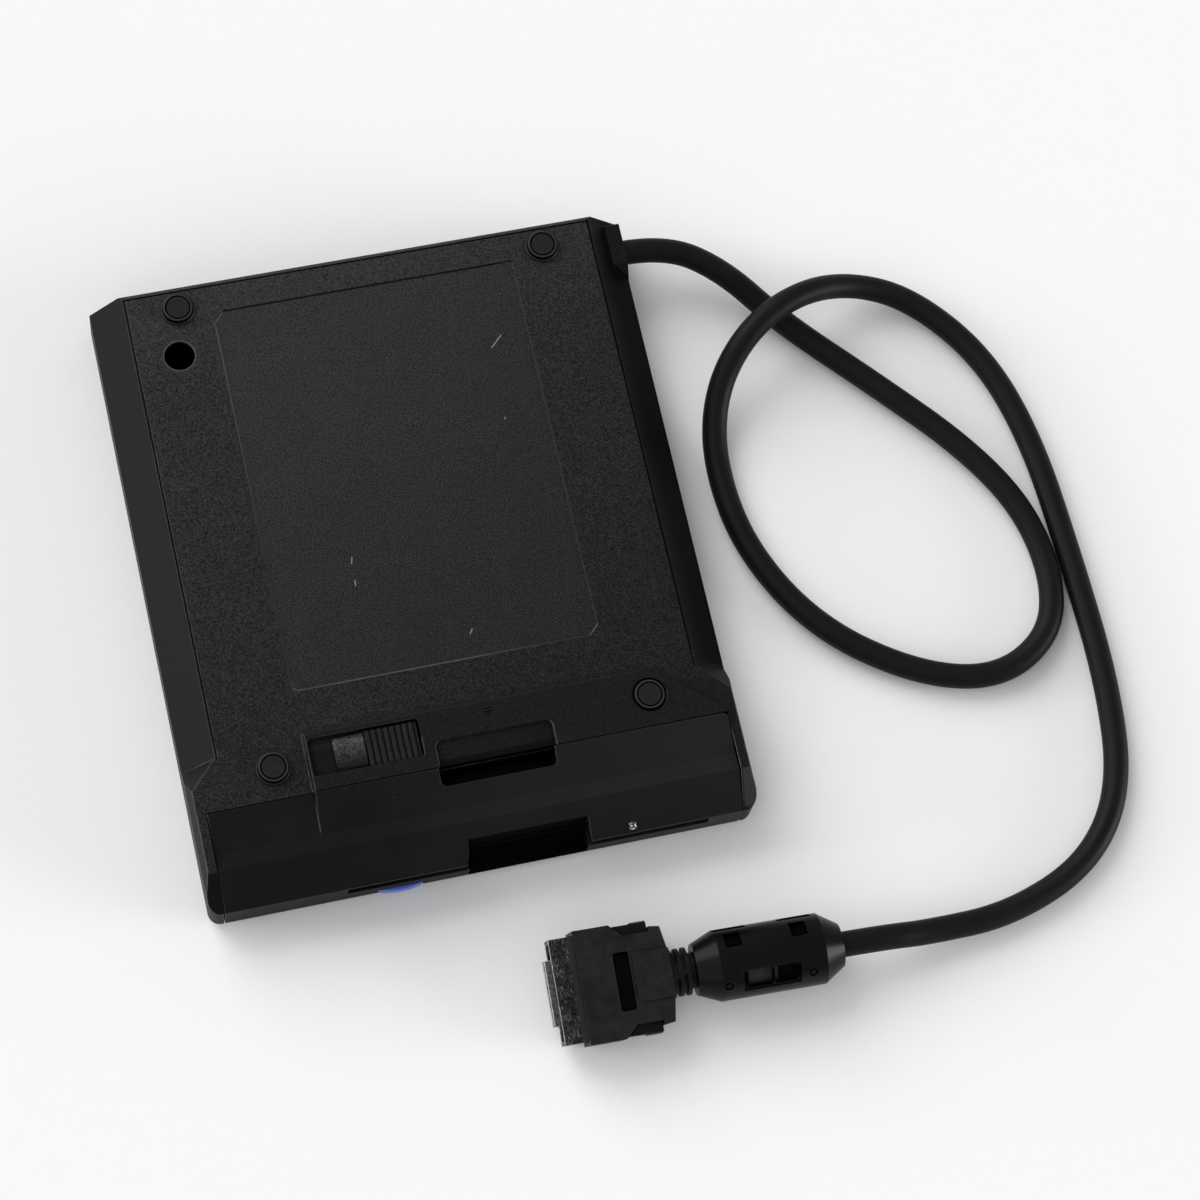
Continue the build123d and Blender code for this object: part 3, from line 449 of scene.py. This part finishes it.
def plate_border(paint):
    """The dark line inside the plate's long sides, fainter on the left."""
    x, y, _ = paint.place()
    border = paint.band(abs(x), PLATE_X - 0.25, 0.15, 0.4)
    border = border * paint.level(y, BORDER_FRONT_Y - 0.5, BORDER_FRONT_Y)
    return border * paint.level(x, -64.0, 40.0).highest(0.5)


def boss_mask(paint):
    """1 on the cable's boss, which stands out of the sloping right side."""
    x, y, z = paint.place()
    slope = CASE_TOP + PLATE_X - x
    return (paint.level(x, BOSS_X - 0.2, BOSS_X) * paint.level(y, BOSS_Y - 0.1, BOSS_Y)
            * paint.level(z - slope, 0.15, 0.3))


def arm_tip_mask(paint):
    """1 at the outer end of the right front arm, which gets a painted highlight."""
    x, y, z = paint.place()
    return (paint.level(x, ARM_TIP_X - 0.5, ARM_TIP_X) * paint.below(y, ARM_TIP_Y, ARM_TIP_Y + 0.4)
            * paint.level(z, ARM_TIP_Z - 1.0, ARM_TIP_Z))


def edge_light_zone(paint):
    """1 where edges get the painted highlight: along the front and left of the raised strip."""
    x, y, _ = paint.place()
    painted_light_zone = paint.below(y, EDGE_LIGHT_Y - 0.5, EDGE_LIGHT_Y)
    painted_light_zone = painted_light_zone.highest(paint.below(x, EDGE_LIGHT_X, EDGE_LIGHT_X + 1.0))
    return painted_light_zone * (1 - paint.level(y, STRIP_REAR_Y - 1.0, STRIP_REAR_Y) * 0.6)


def ridge_mask(paint):
    """1 on the rear edge of the raised strip, which gets a painted highlight line."""
    x, y, z = paint.place()
    edge = paint.rim(0.02, 0.1) * paint.level(z, CASE_TOP + 0.5, CASE_TOP + 0.7)
    edge = edge * paint.level(y, STRIP_RIDGE_Y - 0.2, STRIP_RIDGE_Y)
    return (edge * paint.level(x, STRIP_X - 0.8, STRIP_X - 0.3)
            * paint.below(x, STRIP_CORNER_X - 5.0, STRIP_CORNER_X))


def hole_ring(paint):
    """The pale lip of the round service hole."""
    x, y, _ = paint.place()
    out = (x - SERVICE_HOLE[0]).diagonal(y - SERVICE_HOLE[1])
    return paint.band(out, HOLE_R + 0.1, 0.1, 0.25)


def pull_ends(paint):
    """1 round the finger pull, whose edges get the painted highlight at both ends."""
    x, y, _ = paint.place()
    return (paint.within(x, PULL[0] - PULL_REACH, PULL[1] + PULL_REACH, 0.5)
            * paint.within(y, *PULL_Y, 0.5))


def pull_seam(paint):
    """1 along the gap that crosses the bottom of the finger pull."""
    x, y, z = paint.place()
    low = paint.below(z, CASE_TOP - 0.4, CASE_TOP - 0.2)
    inside = paint.within(x, PULL[0] - 0.2, PULL[1] + 0.2, 0.2)
    return paint.band(y, SEAM_Y - 0.35, 0.75, 0.9) * low * inside


def case_finish():
    """The underside: spark-eroded grain on the plate, smooth sides, a thin outline round the
    label's place with painted highlights and a painted shadow on its rear side, and a few light
    scratches. Painted light mixed with dust makes its rear and left paler; painted highlights lie
    on edges that face left, and painted shade on the right side and in inner corners."""
    paint = Paint("case_plastic", 0.3)
    x, y, _ = paint.place()
    plate, raised = plate_mask(paint), strip_mask(paint)
    pits = paint.noise(5200, 1.0, 0.5)
    cloud = paint.noise(45, 4.0, 0.6)
    speck = paint.level(paint.noise(2500, 2.0, 0.6) * 0.7 + pits * 0.3, 0.36, 0.64)
    edge, corner = label_edge(paint)
    outline = paint.band(edge, -0.1, 0.10, 0.28) * plate * (1 - raised)
    far = paint.level(y, LABEL_REAR_Y - 0.6, LABEL_REAR_Y - 0.4)
    outline_glint = outline * (1 - far) * label_glint(paint, corner, pits)
    margin = paint.level(edge, -0.2, 0.2) * paint.below(y, 55.0, 74.0)
    marks = scratch_mask(paint) * plate
    # shaded: the sloping right side, which faces away from the light, is painted darker as shade.
    shaded = paint.level(x, SIDE_DARK_X - 6.0, SIDE_DARK_X)
    painted_edge_light = paint.edge_highlight(paint.level(cloud + 0.3 * pits, 0.4, 0.7), pull_ends(paint))

    smooth = paint.ramp(cloud, (0.3, grey(0.0026)), (0.7, grey(0.0038)))
    smooth = paint.mix(shaded, smooth, grey(0.0008))
    # Painted light mixed with dust: the grain grows paler towards the rear and left.
    dust_and_painted_light = paint.level(y - x * 0.7, -140.0, 110.0) + 0.35 * (cloud - 0.5)
    grainy = paint.mix(dust_and_painted_light.clamped(), speckled(paint, speck, 0.0012, 0.0170),
                       speckled(paint, speck, 0.0070, 0.0500))
    strip = speckled(paint, speck, 0.0025, 0.0135)
    colour = paint.mix(plate, smooth, paint.mix(raised, grainy, strip))
    # Each coat goes over those before it.
    # Painted shadow along the outline's rear side, then painted highlights on the rest of the
    # outline.
    coats = [(outline * far * 0.9, grey(0.0015)),
             (outline_glint * 0.85, grey(0.12)),
             (marks * 0.9, grey(0.22)),
             (plate_border(paint) * plate, grey(0.0008)),
             (boss_mask(paint), speckled(paint, speck, 0.008, 0.020)),
             # Painted highlight on the outer end of the right arm.
             (arm_tip_mask(paint) * (0.5 + 0.5 * speck), grey(0.05)),
             (margin * (1 - raised) * plate * 0.34 * (1.2 - speck), grey(0.001)),
             # Painted highlight on edges that face the light.
             (painted_edge_light * edge_light_zone(paint), grey(0.26)),
             # Painted highlight line along the strip's rear edge.
             (ridge_mask(paint) * (0.3 + 0.5 * pits), grey(0.06)),
             (hole_ring(paint) * plate * 0.6, grey(0.09))]
    for mask, coat in coats:
        colour = paint.mix(mask, colour, coat)

    # Painted shade in inner corners and on the sloping right side; the seam across the finger pull
    # is a dark joint.
    corners = paint.crevice().highest(paint.crevice(6.0, 0.1, 0.5)) * 0.9
    right_side = shaded * (1 - plate) * paint.level(y, STRIP_REAR_Y - 1.0, STRIP_REAR_Y)
    paint.painted_shade_and_grime(corners.highest(pull_seam(paint)).highest(right_side * 0.4))
    paint.set(Base_Color=colour, Specular_IOR_Level=0.06,
              Roughness=0.42 + 0.08 * cloud + plate * 0.1)
    paint.polished(0.9)
    paint.bump(plate * speck + (1 - plate) * pits * 0.06 + marks * 0.3, 0.08)
    return paint


# ---------------------------------------------------------------- finishes of the other pieces

NOTCH, NOTCH_BACK_Y = (-4.2, 27.2), -76.9


def bezel_finish():
    """Smooth satin black with light dust marks and a fine grain, painted lighter towards the right
    as painted light, with painted highlights on edges that face left. The finger notch round the
    disk slot and the inner corners are painted dark as shade."""
    paint = Paint("bezel_plastic", 0.3)
    x, y, _ = paint.place()
    cloud = paint.noise(50, 4.0, 0.6)
    fine = paint.noise(3200, 2.0)
    # Painted light: the colour grows lighter towards the right.
    painted_light_zone = paint.level(x + 40 * (cloud - 0.5), -50.0, 60.0)
    dust_and_painted_light = paint.level(paint.noise(700, 2.0, 0.7), 0.70, 0.76)
    painted_edge_light = paint.edge_highlight(paint.level(cloud + 0.4 * fine, 0.5, 0.8), pull_ends(paint))
    colour = paint.mix(painted_light_zone, grey(0.0032), grey(0.0125))
    colour = paint.mix(paint.level(cloud + 0.5 * fine, 0.6, 0.9) * 0.3, colour, grey(0.012))
    colour = paint.mix(dust_and_painted_light * 0.5, colour, grey(0.03))
    paint.set(Base_Color=paint.mix(painted_edge_light, colour, grey(0.16)), Specular_IOR_Level=0.08,
              Roughness=0.46 + 0.1 * cloud)
    notch = paint.within(x, NOTCH[0] + 0.1, NOTCH[1] - 0.1, 0.2)
    notch = notch * paint.below(y, NOTCH_BACK_Y, NOTCH_BACK_Y + 0.1)
    # Painted shade in inner corners and in the finger notch; the seam across the finger pull is a
    # dark joint.
    corners = paint.crevice(1.0).highest(paint.crevice(7.0, 0.3, 0.75)) * 0.9
    paint.painted_shade_and_grime(corners.highest(pull_seam(paint)).highest(notch * 0.85))
    paint.polished(0.9)
    paint.bump(fine, 0.008)
    return paint


ARROW_TIP, ARROW_WIDTH = (-31.3, -50.05), 0.24
ARROW_BARBS = [(-29.5, -48.5), (-29.5, -51.6)]
PAD_EDGE_X = -24.8
PAD_DARK_Y, PAD_LIGHT_Y = -52.6, -47.2


def slider_finish():
    """Coarse-grained black plastic with a small open arrowhead cut into the pad. The pad's upper
    part is a painted highlight; the arrowhead's cut and the inner corners are painted dark as
    shade.
    """
    paint = Paint("slider_plastic", 0.12)
    x, y, _ = paint.place()
    grain = paint.noise(2000, 3.0, 0.7)
    speck = paint.level(grain, 0.38, 0.62)
    upper, lower = (paint.line(barb, ARROW_TIP, ARROW_WIDTH) for barb in ARROW_BARBS)
    arrow = upper.highest(lower) * paint.below(x, PAD_EDGE_X - 0.1, PAD_EDGE_X)
    pad = paint.below(x, PAD_EDGE_X, PAD_EDGE_X + 0.15)
    # Painted highlight on the pad's upper part.
    lit = pad * paint.level(y + 3 * (grain - 0.5), PAD_DARK_Y, PAD_LIGHT_Y)
    colour = speckled(paint, speck, 0.0012, 0.0110)
    colour = paint.mix(lit * speck, colour, grey(0.075))
    # The arrowhead's cut is painted near black as shade.
    paint.set(Base_Color=paint.mix(arrow, colour, grey(0.001)), Specular_IOR_Level=0.22,
              Roughness=0.38 + 0.15 * speck - 0.1 * arrow)
    paint.polished(0.5)
    paint.bump(pad * speck - arrow * 1.5, 0.04)
    # Painted shade in inner corners.
    paint.painted_shade_and_grime(paint.crevice(0.7))
    return paint


def along_line(paint):
    """How far along the straight run through sleeve and plug, in millimetres."""
    x, y, _ = paint.place()
    return x * math.cos(LINE_TURN) + (y - LINE_PIVOT[1]) * math.sin(LINE_TURN)


def off_line(paint):
    """How far from the middle of that run, in millimetres."""
    x, y, z = paint.place()
    across = ((y - LINE_PIVOT[1]) * math.cos(LINE_TURN)
              - (x - LINE_PIVOT[0]) * math.sin(LINE_TURN))
    return across.diagonal(z - LINE_Z)


SHELL_DARK_X = 14.2
SHELL_BLACK = (0.003, 0.003, 0.003)
SHELL_STAIN, SHELL_CLEAN = (0.008, 0.008, 0.008), (0.060, 0.058, 0.056)
SHELL_SCRATCH, SHELL_EDGE = (0.34, 0.335, 0.33), (0.8, 0.79, 0.77)


def shell_finish():
    """Dull plated sheet: mottled and darkened, with fine scratches in two directions and
    a bright bare edge. Next to the plug's body it is black."""
    paint = Paint("shell_metal", 0.25)
    stain = paint.noise(260, 4.0, 0.65)
    mottle = paint.noise(1800, 4.0, 0.75)
    first = paint.noise(5200, 2.0, 0.5, (1.0, 0.08, 1.0), 52)
    second = paint.noise(4300, 2.0, 0.5, (1.0, 0.08, 1.0), -38)
    scratch = paint.level(first, 0.58, 0.66).highest(paint.level(second, 0.60, 0.68))
    scratch = scratch * paint.level(stain, 0.42, 0.56)
    edge = paint.rim(0.06, 0.2) * paint.level(mottle, 0.3, 0.5)
    bare = paint.below(along_line(paint) - SHELL_DARK_X + 4.0 * (mottle - 0.5), 0.0, 0.5)
    colour = paint.ramp(stain * 0.35 + mottle * 0.65, (0.38, SHELL_STAIN), (0.64, SHELL_CLEAN))
    colour = paint.mix(scratch * 0.7, colour, SHELL_SCRATCH)
    colour = paint.mix(edge, colour, SHELL_EDGE)
    paint.set(Base_Color=paint.mix(bare, SHELL_BLACK, colour), Metallic=bare,
              Roughness=0.40 + 0.2 * stain)
    paint.bump(mottle - scratch * 0.6, 0.02)
    return paint


TONGUE_PLATING = (0.62, 0.61, 0.59)


def tongue_finish():
    """The plug's black inner frame with bright plated edges."""
    paint = Paint("tongue_frame", 0.35)
    edge_highlight = paint.noise(1400, 3.0, 0.7)
    bright = paint.rim(0.04, 0.12) * paint.level(edge_highlight, 0.3, 0.45)
    colour = paint.ramp(edge_highlight, (0.35, grey(0.006)), (0.65, grey(0.09)))
    paint.set(Base_Color=paint.mix(bright, colour, TONGUE_PLATING), Metallic=bright,
              Roughness=0.34 + 0.2 * edge_highlight)
    paint.bump(edge_highlight, 0.02)
    return paint


PLUG_ROLL = math.radians(9.0)
PLUG_TOP, PLUG_MIDDLE_Y = 6.8, -118.5
GRIP_SLOT_Z, GRIP_SLOT_HALF_Y = (5.2, PLUG_TOP - 0.5), 8.8


def plug_finish():
    """Dark grey plastic with fine scuffs; the grip slot's bottom is black and rough. The
    slot is found by the height square to the plug, which lies rolled a little."""
    paint = Paint("plug_plastic", 0.22)
    _, y, z = paint.place()
    cloud = paint.noise(70, 4.0, 0.6)
    blotch = paint.noise(420, 3.0, 0.6)
    scuff = paint.level(paint.noise(900, 3.0, 0.6, (0.25, 1.0, 1.0)), 0.62, 0.72)
    across = y - PLUG_MIDDLE_Y
    height = (z - LINE_Z) * math.cos(PLUG_ROLL) - across * math.sin(PLUG_ROLL)
    in_slot = (paint.level(height, GRIP_SLOT_Z[0], GRIP_SLOT_Z[0] + 0.1)
               * paint.below(height, GRIP_SLOT_Z[1] - 0.2, GRIP_SLOT_Z[1])
               * paint.below(abs(across), GRIP_SLOT_HALF_Y - 0.2, GRIP_SLOT_HALF_Y))
    colour = paint.ramp(cloud * 0.5 + blotch * 0.5, (0.36, grey(0.0060)), (0.64, grey(0.0155)))
    colour = paint.mix(scuff * 0.4, colour, grey(0.03))
    pit = paint.ramp(paint.noise(1500, 3.0), (0.35, grey(0.0008)), (0.7, grey(0.006)))
    paint.set(Base_Color=paint.mix(in_slot, colour, pit), Specular_IOR_Level=0.12,
              Roughness=0.40 + 0.1 * cloud + in_slot * 0.3)
    paint.polished(0.7)
    paint.bump(paint.noise(4200, 2.0), 0.01)
    # Painted shade in the grip slot and in inner corners.
    paint.painted_shade_and_grime((in_slot * 0.7).highest(paint.crevice(0.9)))
    return paint


FOOT_X, FOOT_YS = 48.65, (75.7, -50.3)
GROOVE_R, FOOT_SIDE_R = 3.1, 3.98
CREST_R, BASE_CREST_R = 3.55, 4.28


def foot_finish():
    """Moulded rubber whose rings carry a painted highlight, with painted shade in the groove
    between and round its side.
    """
    paint = Paint("foot_rubber", 0.1)
    x, y, _ = paint.place()
    cloud = paint.noise(900, 3.0, 0.6)
    rear, front = (abs(y - middle) for middle in FOOT_YS)
    out = (abs(x) - FOOT_X).diagonal(rear.lowest(front))
    groove = paint.band(out, GROOVE_R, 0.12, 0.26)
    side = paint.band(out, FOOT_SIDE_R, 0.1, 0.2)
    crest = paint.band(out, CREST_R, 0.08, 0.22)
    crest = crest.highest(paint.band(out, BASE_CREST_R, 0.05, 0.14) * 0.5)
    colour = paint.ramp(cloud, (0.3, grey(0.0025)), (0.7, grey(0.0075)))
    # Painted highlight on the crests of the rings.
    colour = paint.mix(crest * 0.7, colour, grey(0.035))
    # Painted shade in the groove and round the side.
    colour = paint.mix(groove.highest(side), colour, grey(0.0006))
    paint.set(Base_Color=colour, Specular_IOR_Level=0.2,
              Roughness=0.5 - 0.15 * crest + 0.1 * cloud)
    paint.polished(1.0)
    paint.bump(cloud, 0.02)
    # Painted shade in the groove, round the side and in inner corners.
    paint.painted_shade_and_grime(groove.highest(side * 0.7).highest(paint.crevice(0.6)))
    return paint


def lens_finish():
    """The clear lamp lens: dark, with pale spots of noise that are painted highlights."""
    paint = Paint("lamp_lens", 0.1)
    lens_glints = paint.level(paint.noise(1500, 1.0), 0.52, 0.6)
    paint.set(Base_Color=paint.mix(lens_glints, grey(0.03), grey(0.5)), Roughness=0.1 + 0.1 * lens_glints,
              Specular_IOR_Level=0.6)
    paint.bump(lens_glints, 0.02)
    return paint


SLEEVE_MIDDLE, SLEEVE_R = (51.5, 78.7), 9.1


def sleeve_finish():
    """Glossy black. What lies below the round surface, in its windows, pockets and slits, is
    painted dull black as shade, and so are its inner corners."""
    paint = Paint("sleeve_plastic", 0.15)
    cloud = paint.noise(60, 4.0, 0.6)
    deep = paint.below(off_line(paint), SLEEVE_R - 0.75, SLEEVE_R - 0.55)
    deep = deep * paint.within(along_line(paint), *SLEEVE_MIDDLE, 0.2)
    colour = paint.ramp(cloud, (0.3, grey(0.0030)), (0.7, grey(0.0042)))
    paint.set(Base_Color=colour, Specular_IOR_Level=0.10, Roughness=0.20 + 0.12 * cloud)
    paint.polished(0.8)
    # Painted shade below the round surface and in inner corners.
    paint.painted_shade_and_grime((deep * 0.85).highest(paint.crevice(0.8)))
    paint.bump(paint.noise(2600, 3.0, 0.6), 0.006)
    return paint


CORE_R, CORE_INK_X = 7.2, 65.6


def core_finish():
    """Grey sintered ferrite. One end is inked black outside, which shows in the sleeve's
    window."""
    paint = Paint("ferrite_core", 0.1)
    pores = paint.noise(2500, 4.0, 0.7)
    inked = paint.level(paint.place()[0] + 0.6 * (pores - 0.5), CORE_INK_X, CORE_INK_X + 0.3)
    inked = inked * paint.level(off_line(paint), CORE_R - 0.3, CORE_R - 0.2)
    bare = paint.ramp(pores, (0.35, grey(0.010)), (0.65, grey(0.022)))
    paint.set(Base_Color=paint.mix(inked, bare, grey(0.001)), Roughness=0.45 + 0.2 * pores,
              Specular_IOR_Level=0.2)
    paint.bump(pores, 0.02)
    paint.painted_shade_and_grime(inked * 0.85)
    return paint


def moulded(name, level, roughness, grain_scale, grain_depth, shine, wear=0.2, gloss=0.6):
    """Black moulded plastic or rubber: faint cloudy unevenness over a fine grain."""
    paint = Paint(name)
    cloud = paint.noise(60, 4.0, 0.6)
    grain = paint.noise(grain_scale, 3.0, 0.6)
    colour = paint.ramp(cloud + 0.4 * (grain - 0.5), (0.3, grey(level * (1 - wear))),
                        (0.7, grey(level * (1 + wear))))
    paint.set(Base_Color=colour, Roughness=(roughness - 0.06) + 0.12 * cloud,
              Specular_IOR_Level=shine)
    paint.polished(gloss)
    paint.bump(grain, grain_depth)
    return paint


def times(colour, amount):
    """A colour made lighter or darker, up to white."""
    return tuple(min(1.0, part * amount) for part in colour)


def metal(name, colour, roughness):
    """Plated or rolled metal with fine uneven polish."""
    paint = Paint(name)
    cloud = paint.noise(200, 3.0)
    paint.set(Base_Color=paint.ramp(cloud, (0.3, times(colour, 0.8)), (0.7, colour)),
              Metallic=1.0, Roughness=(roughness - 0.08) + 0.16 * cloud)
    paint.bump(paint.noise(9000, 2.0), 0.01)
    return paint


def plain(name, colour, roughness):
    """A coloured plastic or board with slight mottling."""
    paint = Paint(name)
    cloud = paint.noise(120, 3.0)
    paint.set(Base_Color=paint.ramp(cloud, (0.3, times(colour, 0.85)), (0.7, times(colour, 1.12))),
              Roughness=(roughness - 0.05) + 0.1 * cloud)
    paint.bump(paint.noise(4000, 2.0), 0.02)
    return paint


def floor_finish():
    """White seamless paper with a barely visible tooth."""
    paint = Paint("floor_paper")
    tooth = paint.ramp(paint.noise(400, 2.0), (0.2, (0.845,) * 3), (0.8, (0.855,) * 3))
    paint.set(Base_Color=tooth, Roughness=0.9)
    return paint


# What each material slot of the solids wears.
FINISH = {
    "black_case": case_finish(),
    "black_slider": slider_finish(),
    "blue_button": plain("button_blue", (0.075, 0.16, 0.72), 0.35),
    "black_rubber": moulded("rubber", 0.0045, 0.5, 5000, 0.01, 0.12),
    "grey_plug": plug_finish(),
    "nickel": metal("nickel_plate", (0.42, 0.41, 0.4), 0.35),
    "steel": metal("steel", (0.4, 0.4, 0.41), 0.3),
    "gold": metal("gold_plate", (0.8, 0.62, 0.3), 0.25),
    "connector_black": plain("connector_black", (0.012, 0.012, 0.012), 0.5),
    "green_board": plain("board_green", (0.02, 0.1, 0.04), 0.4),
    "ferrite": core_finish(),
    "ceramic": plain("head_ceramic", (0.7, 0.68, 0.62), 0.3),
    "lamp": lens_finish(),
    "wire": plain("wire_red", (0.3, 0.03, 0.02), 0.4),
}
BEZEL = bezel_finish()
SLEEVE = sleeve_finish()
GRIP = moulded("button_grip", 0.0022, 0.5, 2600, 0.04, 0.15, 0.5, 0.5)
# Pieces that wear something else than their slot's finish.
LOOKS = {"top_cover": BEZEL, "bezel": BEZEL, "plug_shell": shell_finish(),
         "plug_strain_relief": FINISH["black_rubber"], "ferrite_case_upper": SLEEVE,
         "ferrite_case_lower": SLEEVE, "plug_button_left": GRIP, "plug_button_right": GRIP,
         "plug_insulator": tongue_finish()}

# ---------------------------------------------------------------- pieces

slots = {part["node"]: part["material_slot"] for part in frame["record"]["subparts"]}


def stands_in(thing, node, paint):
    """A new piece takes the place of a solid of the still case."""
    thing.data.materials.append(paint.material)
    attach(thing, "case")
    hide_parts(node)


FOOT_SIDES = 72
SMOOTH_BELOW = math.radians(35)
FOOT_TOP = [(0, 24.74), (2.95, 24.74), (3.05, 24.62), (3.2, 24.62), (3.3, 24.78), (3.6, 24.8),
            (3.78, 24.74), (3.88, 24.56), (3.9, 23.75), (3.98, 23.62), (4.2, 23.6), (4.34, 23.5),
            (4.4, 23.35), (4.4, 23.0)]
FOOT_BOTTOM = [(0, 23.0)]
FOOT_STEM = [(1.95, 23.0), (1.95, 21.1), (0, 21.1)]


def foot_mesh(name, profile, x, y):
    """A turned piece: each (radius, height) of the profile carried round an upright axis,
    point = (x + radius * cos(u), y + radius * sin(u), height)."""
    u = np.linspace(0, 2 * np.pi, FOOT_SIDES, endpoint=False)
    radius, height = np.array(profile, float).T[:, :, None]
    points = np.stack([x + radius * np.cos(u), y + radius * np.sin(u),
                       height + np.zeros_like(u)], axis=-1) * MM
    index = np.arange(len(profile) * FOOT_SIDES).reshape(-1, FOOT_SIDES)
    right = np.roll(index, -1, axis=1)
    faces = np.stack([index[:-1], right[:-1], right[1:], index[1:]], axis=-1).reshape(-1, 4)
    mesh = bpy.data.meshes.new(name)
    mesh.from_pydata(points.reshape(-1, 3).tolist(), [], faces.tolist())
    whole = bmesh.new()
    whole.from_mesh(mesh)
    bmesh.ops.remove_doubles(whole, verts=whole.verts, dist=1e-7)
    bmesh.ops.recalc_face_normals(whole, faces=whole.faces)
    for face in whole.faces:
        face.smooth = True
    for edge in whole.edges:
        edge.smooth = edge.is_manifold and edge.calc_face_angle(0.0) < SMOOTH_BELOW
    whole.to_mesh(mesh)
    whole.free()
    return mesh


def make_feet():
    """Four rubber feet: a raised disc with a ring groove, standing in a thin base ring. The
    front two have a stem in the plate, the rear two stand on the case screws."""
    paint = foot_finish()
    places = [(x, y) for y in FOOT_YS for x in (-FOOT_X, FOOT_X)]
    for number, (x, y) in enumerate(places, 1):
        name = f"foot_{number}_finish"
        profile = FOOT_TOP + (FOOT_BOTTOM if y > 0 else FOOT_STEM)
        stands_in(put(name, foot_mesh(name, profile, x, y)), f"rubber_foot_{number}", paint)


make_camera()
cable = make_cord()
make_floor()
make_suns()
make_world()

for name, thing in frame["nodes"].items():
    thing.data.materials.clear()
    thing.data.materials.append(LOOKS.get(name, FINISH[slots[name]]).material)
make_feet()

stands_in(cable, "cord", FINISH["black_rubber"])
tuple(c * MM for c in CORD_ROUTE[0])
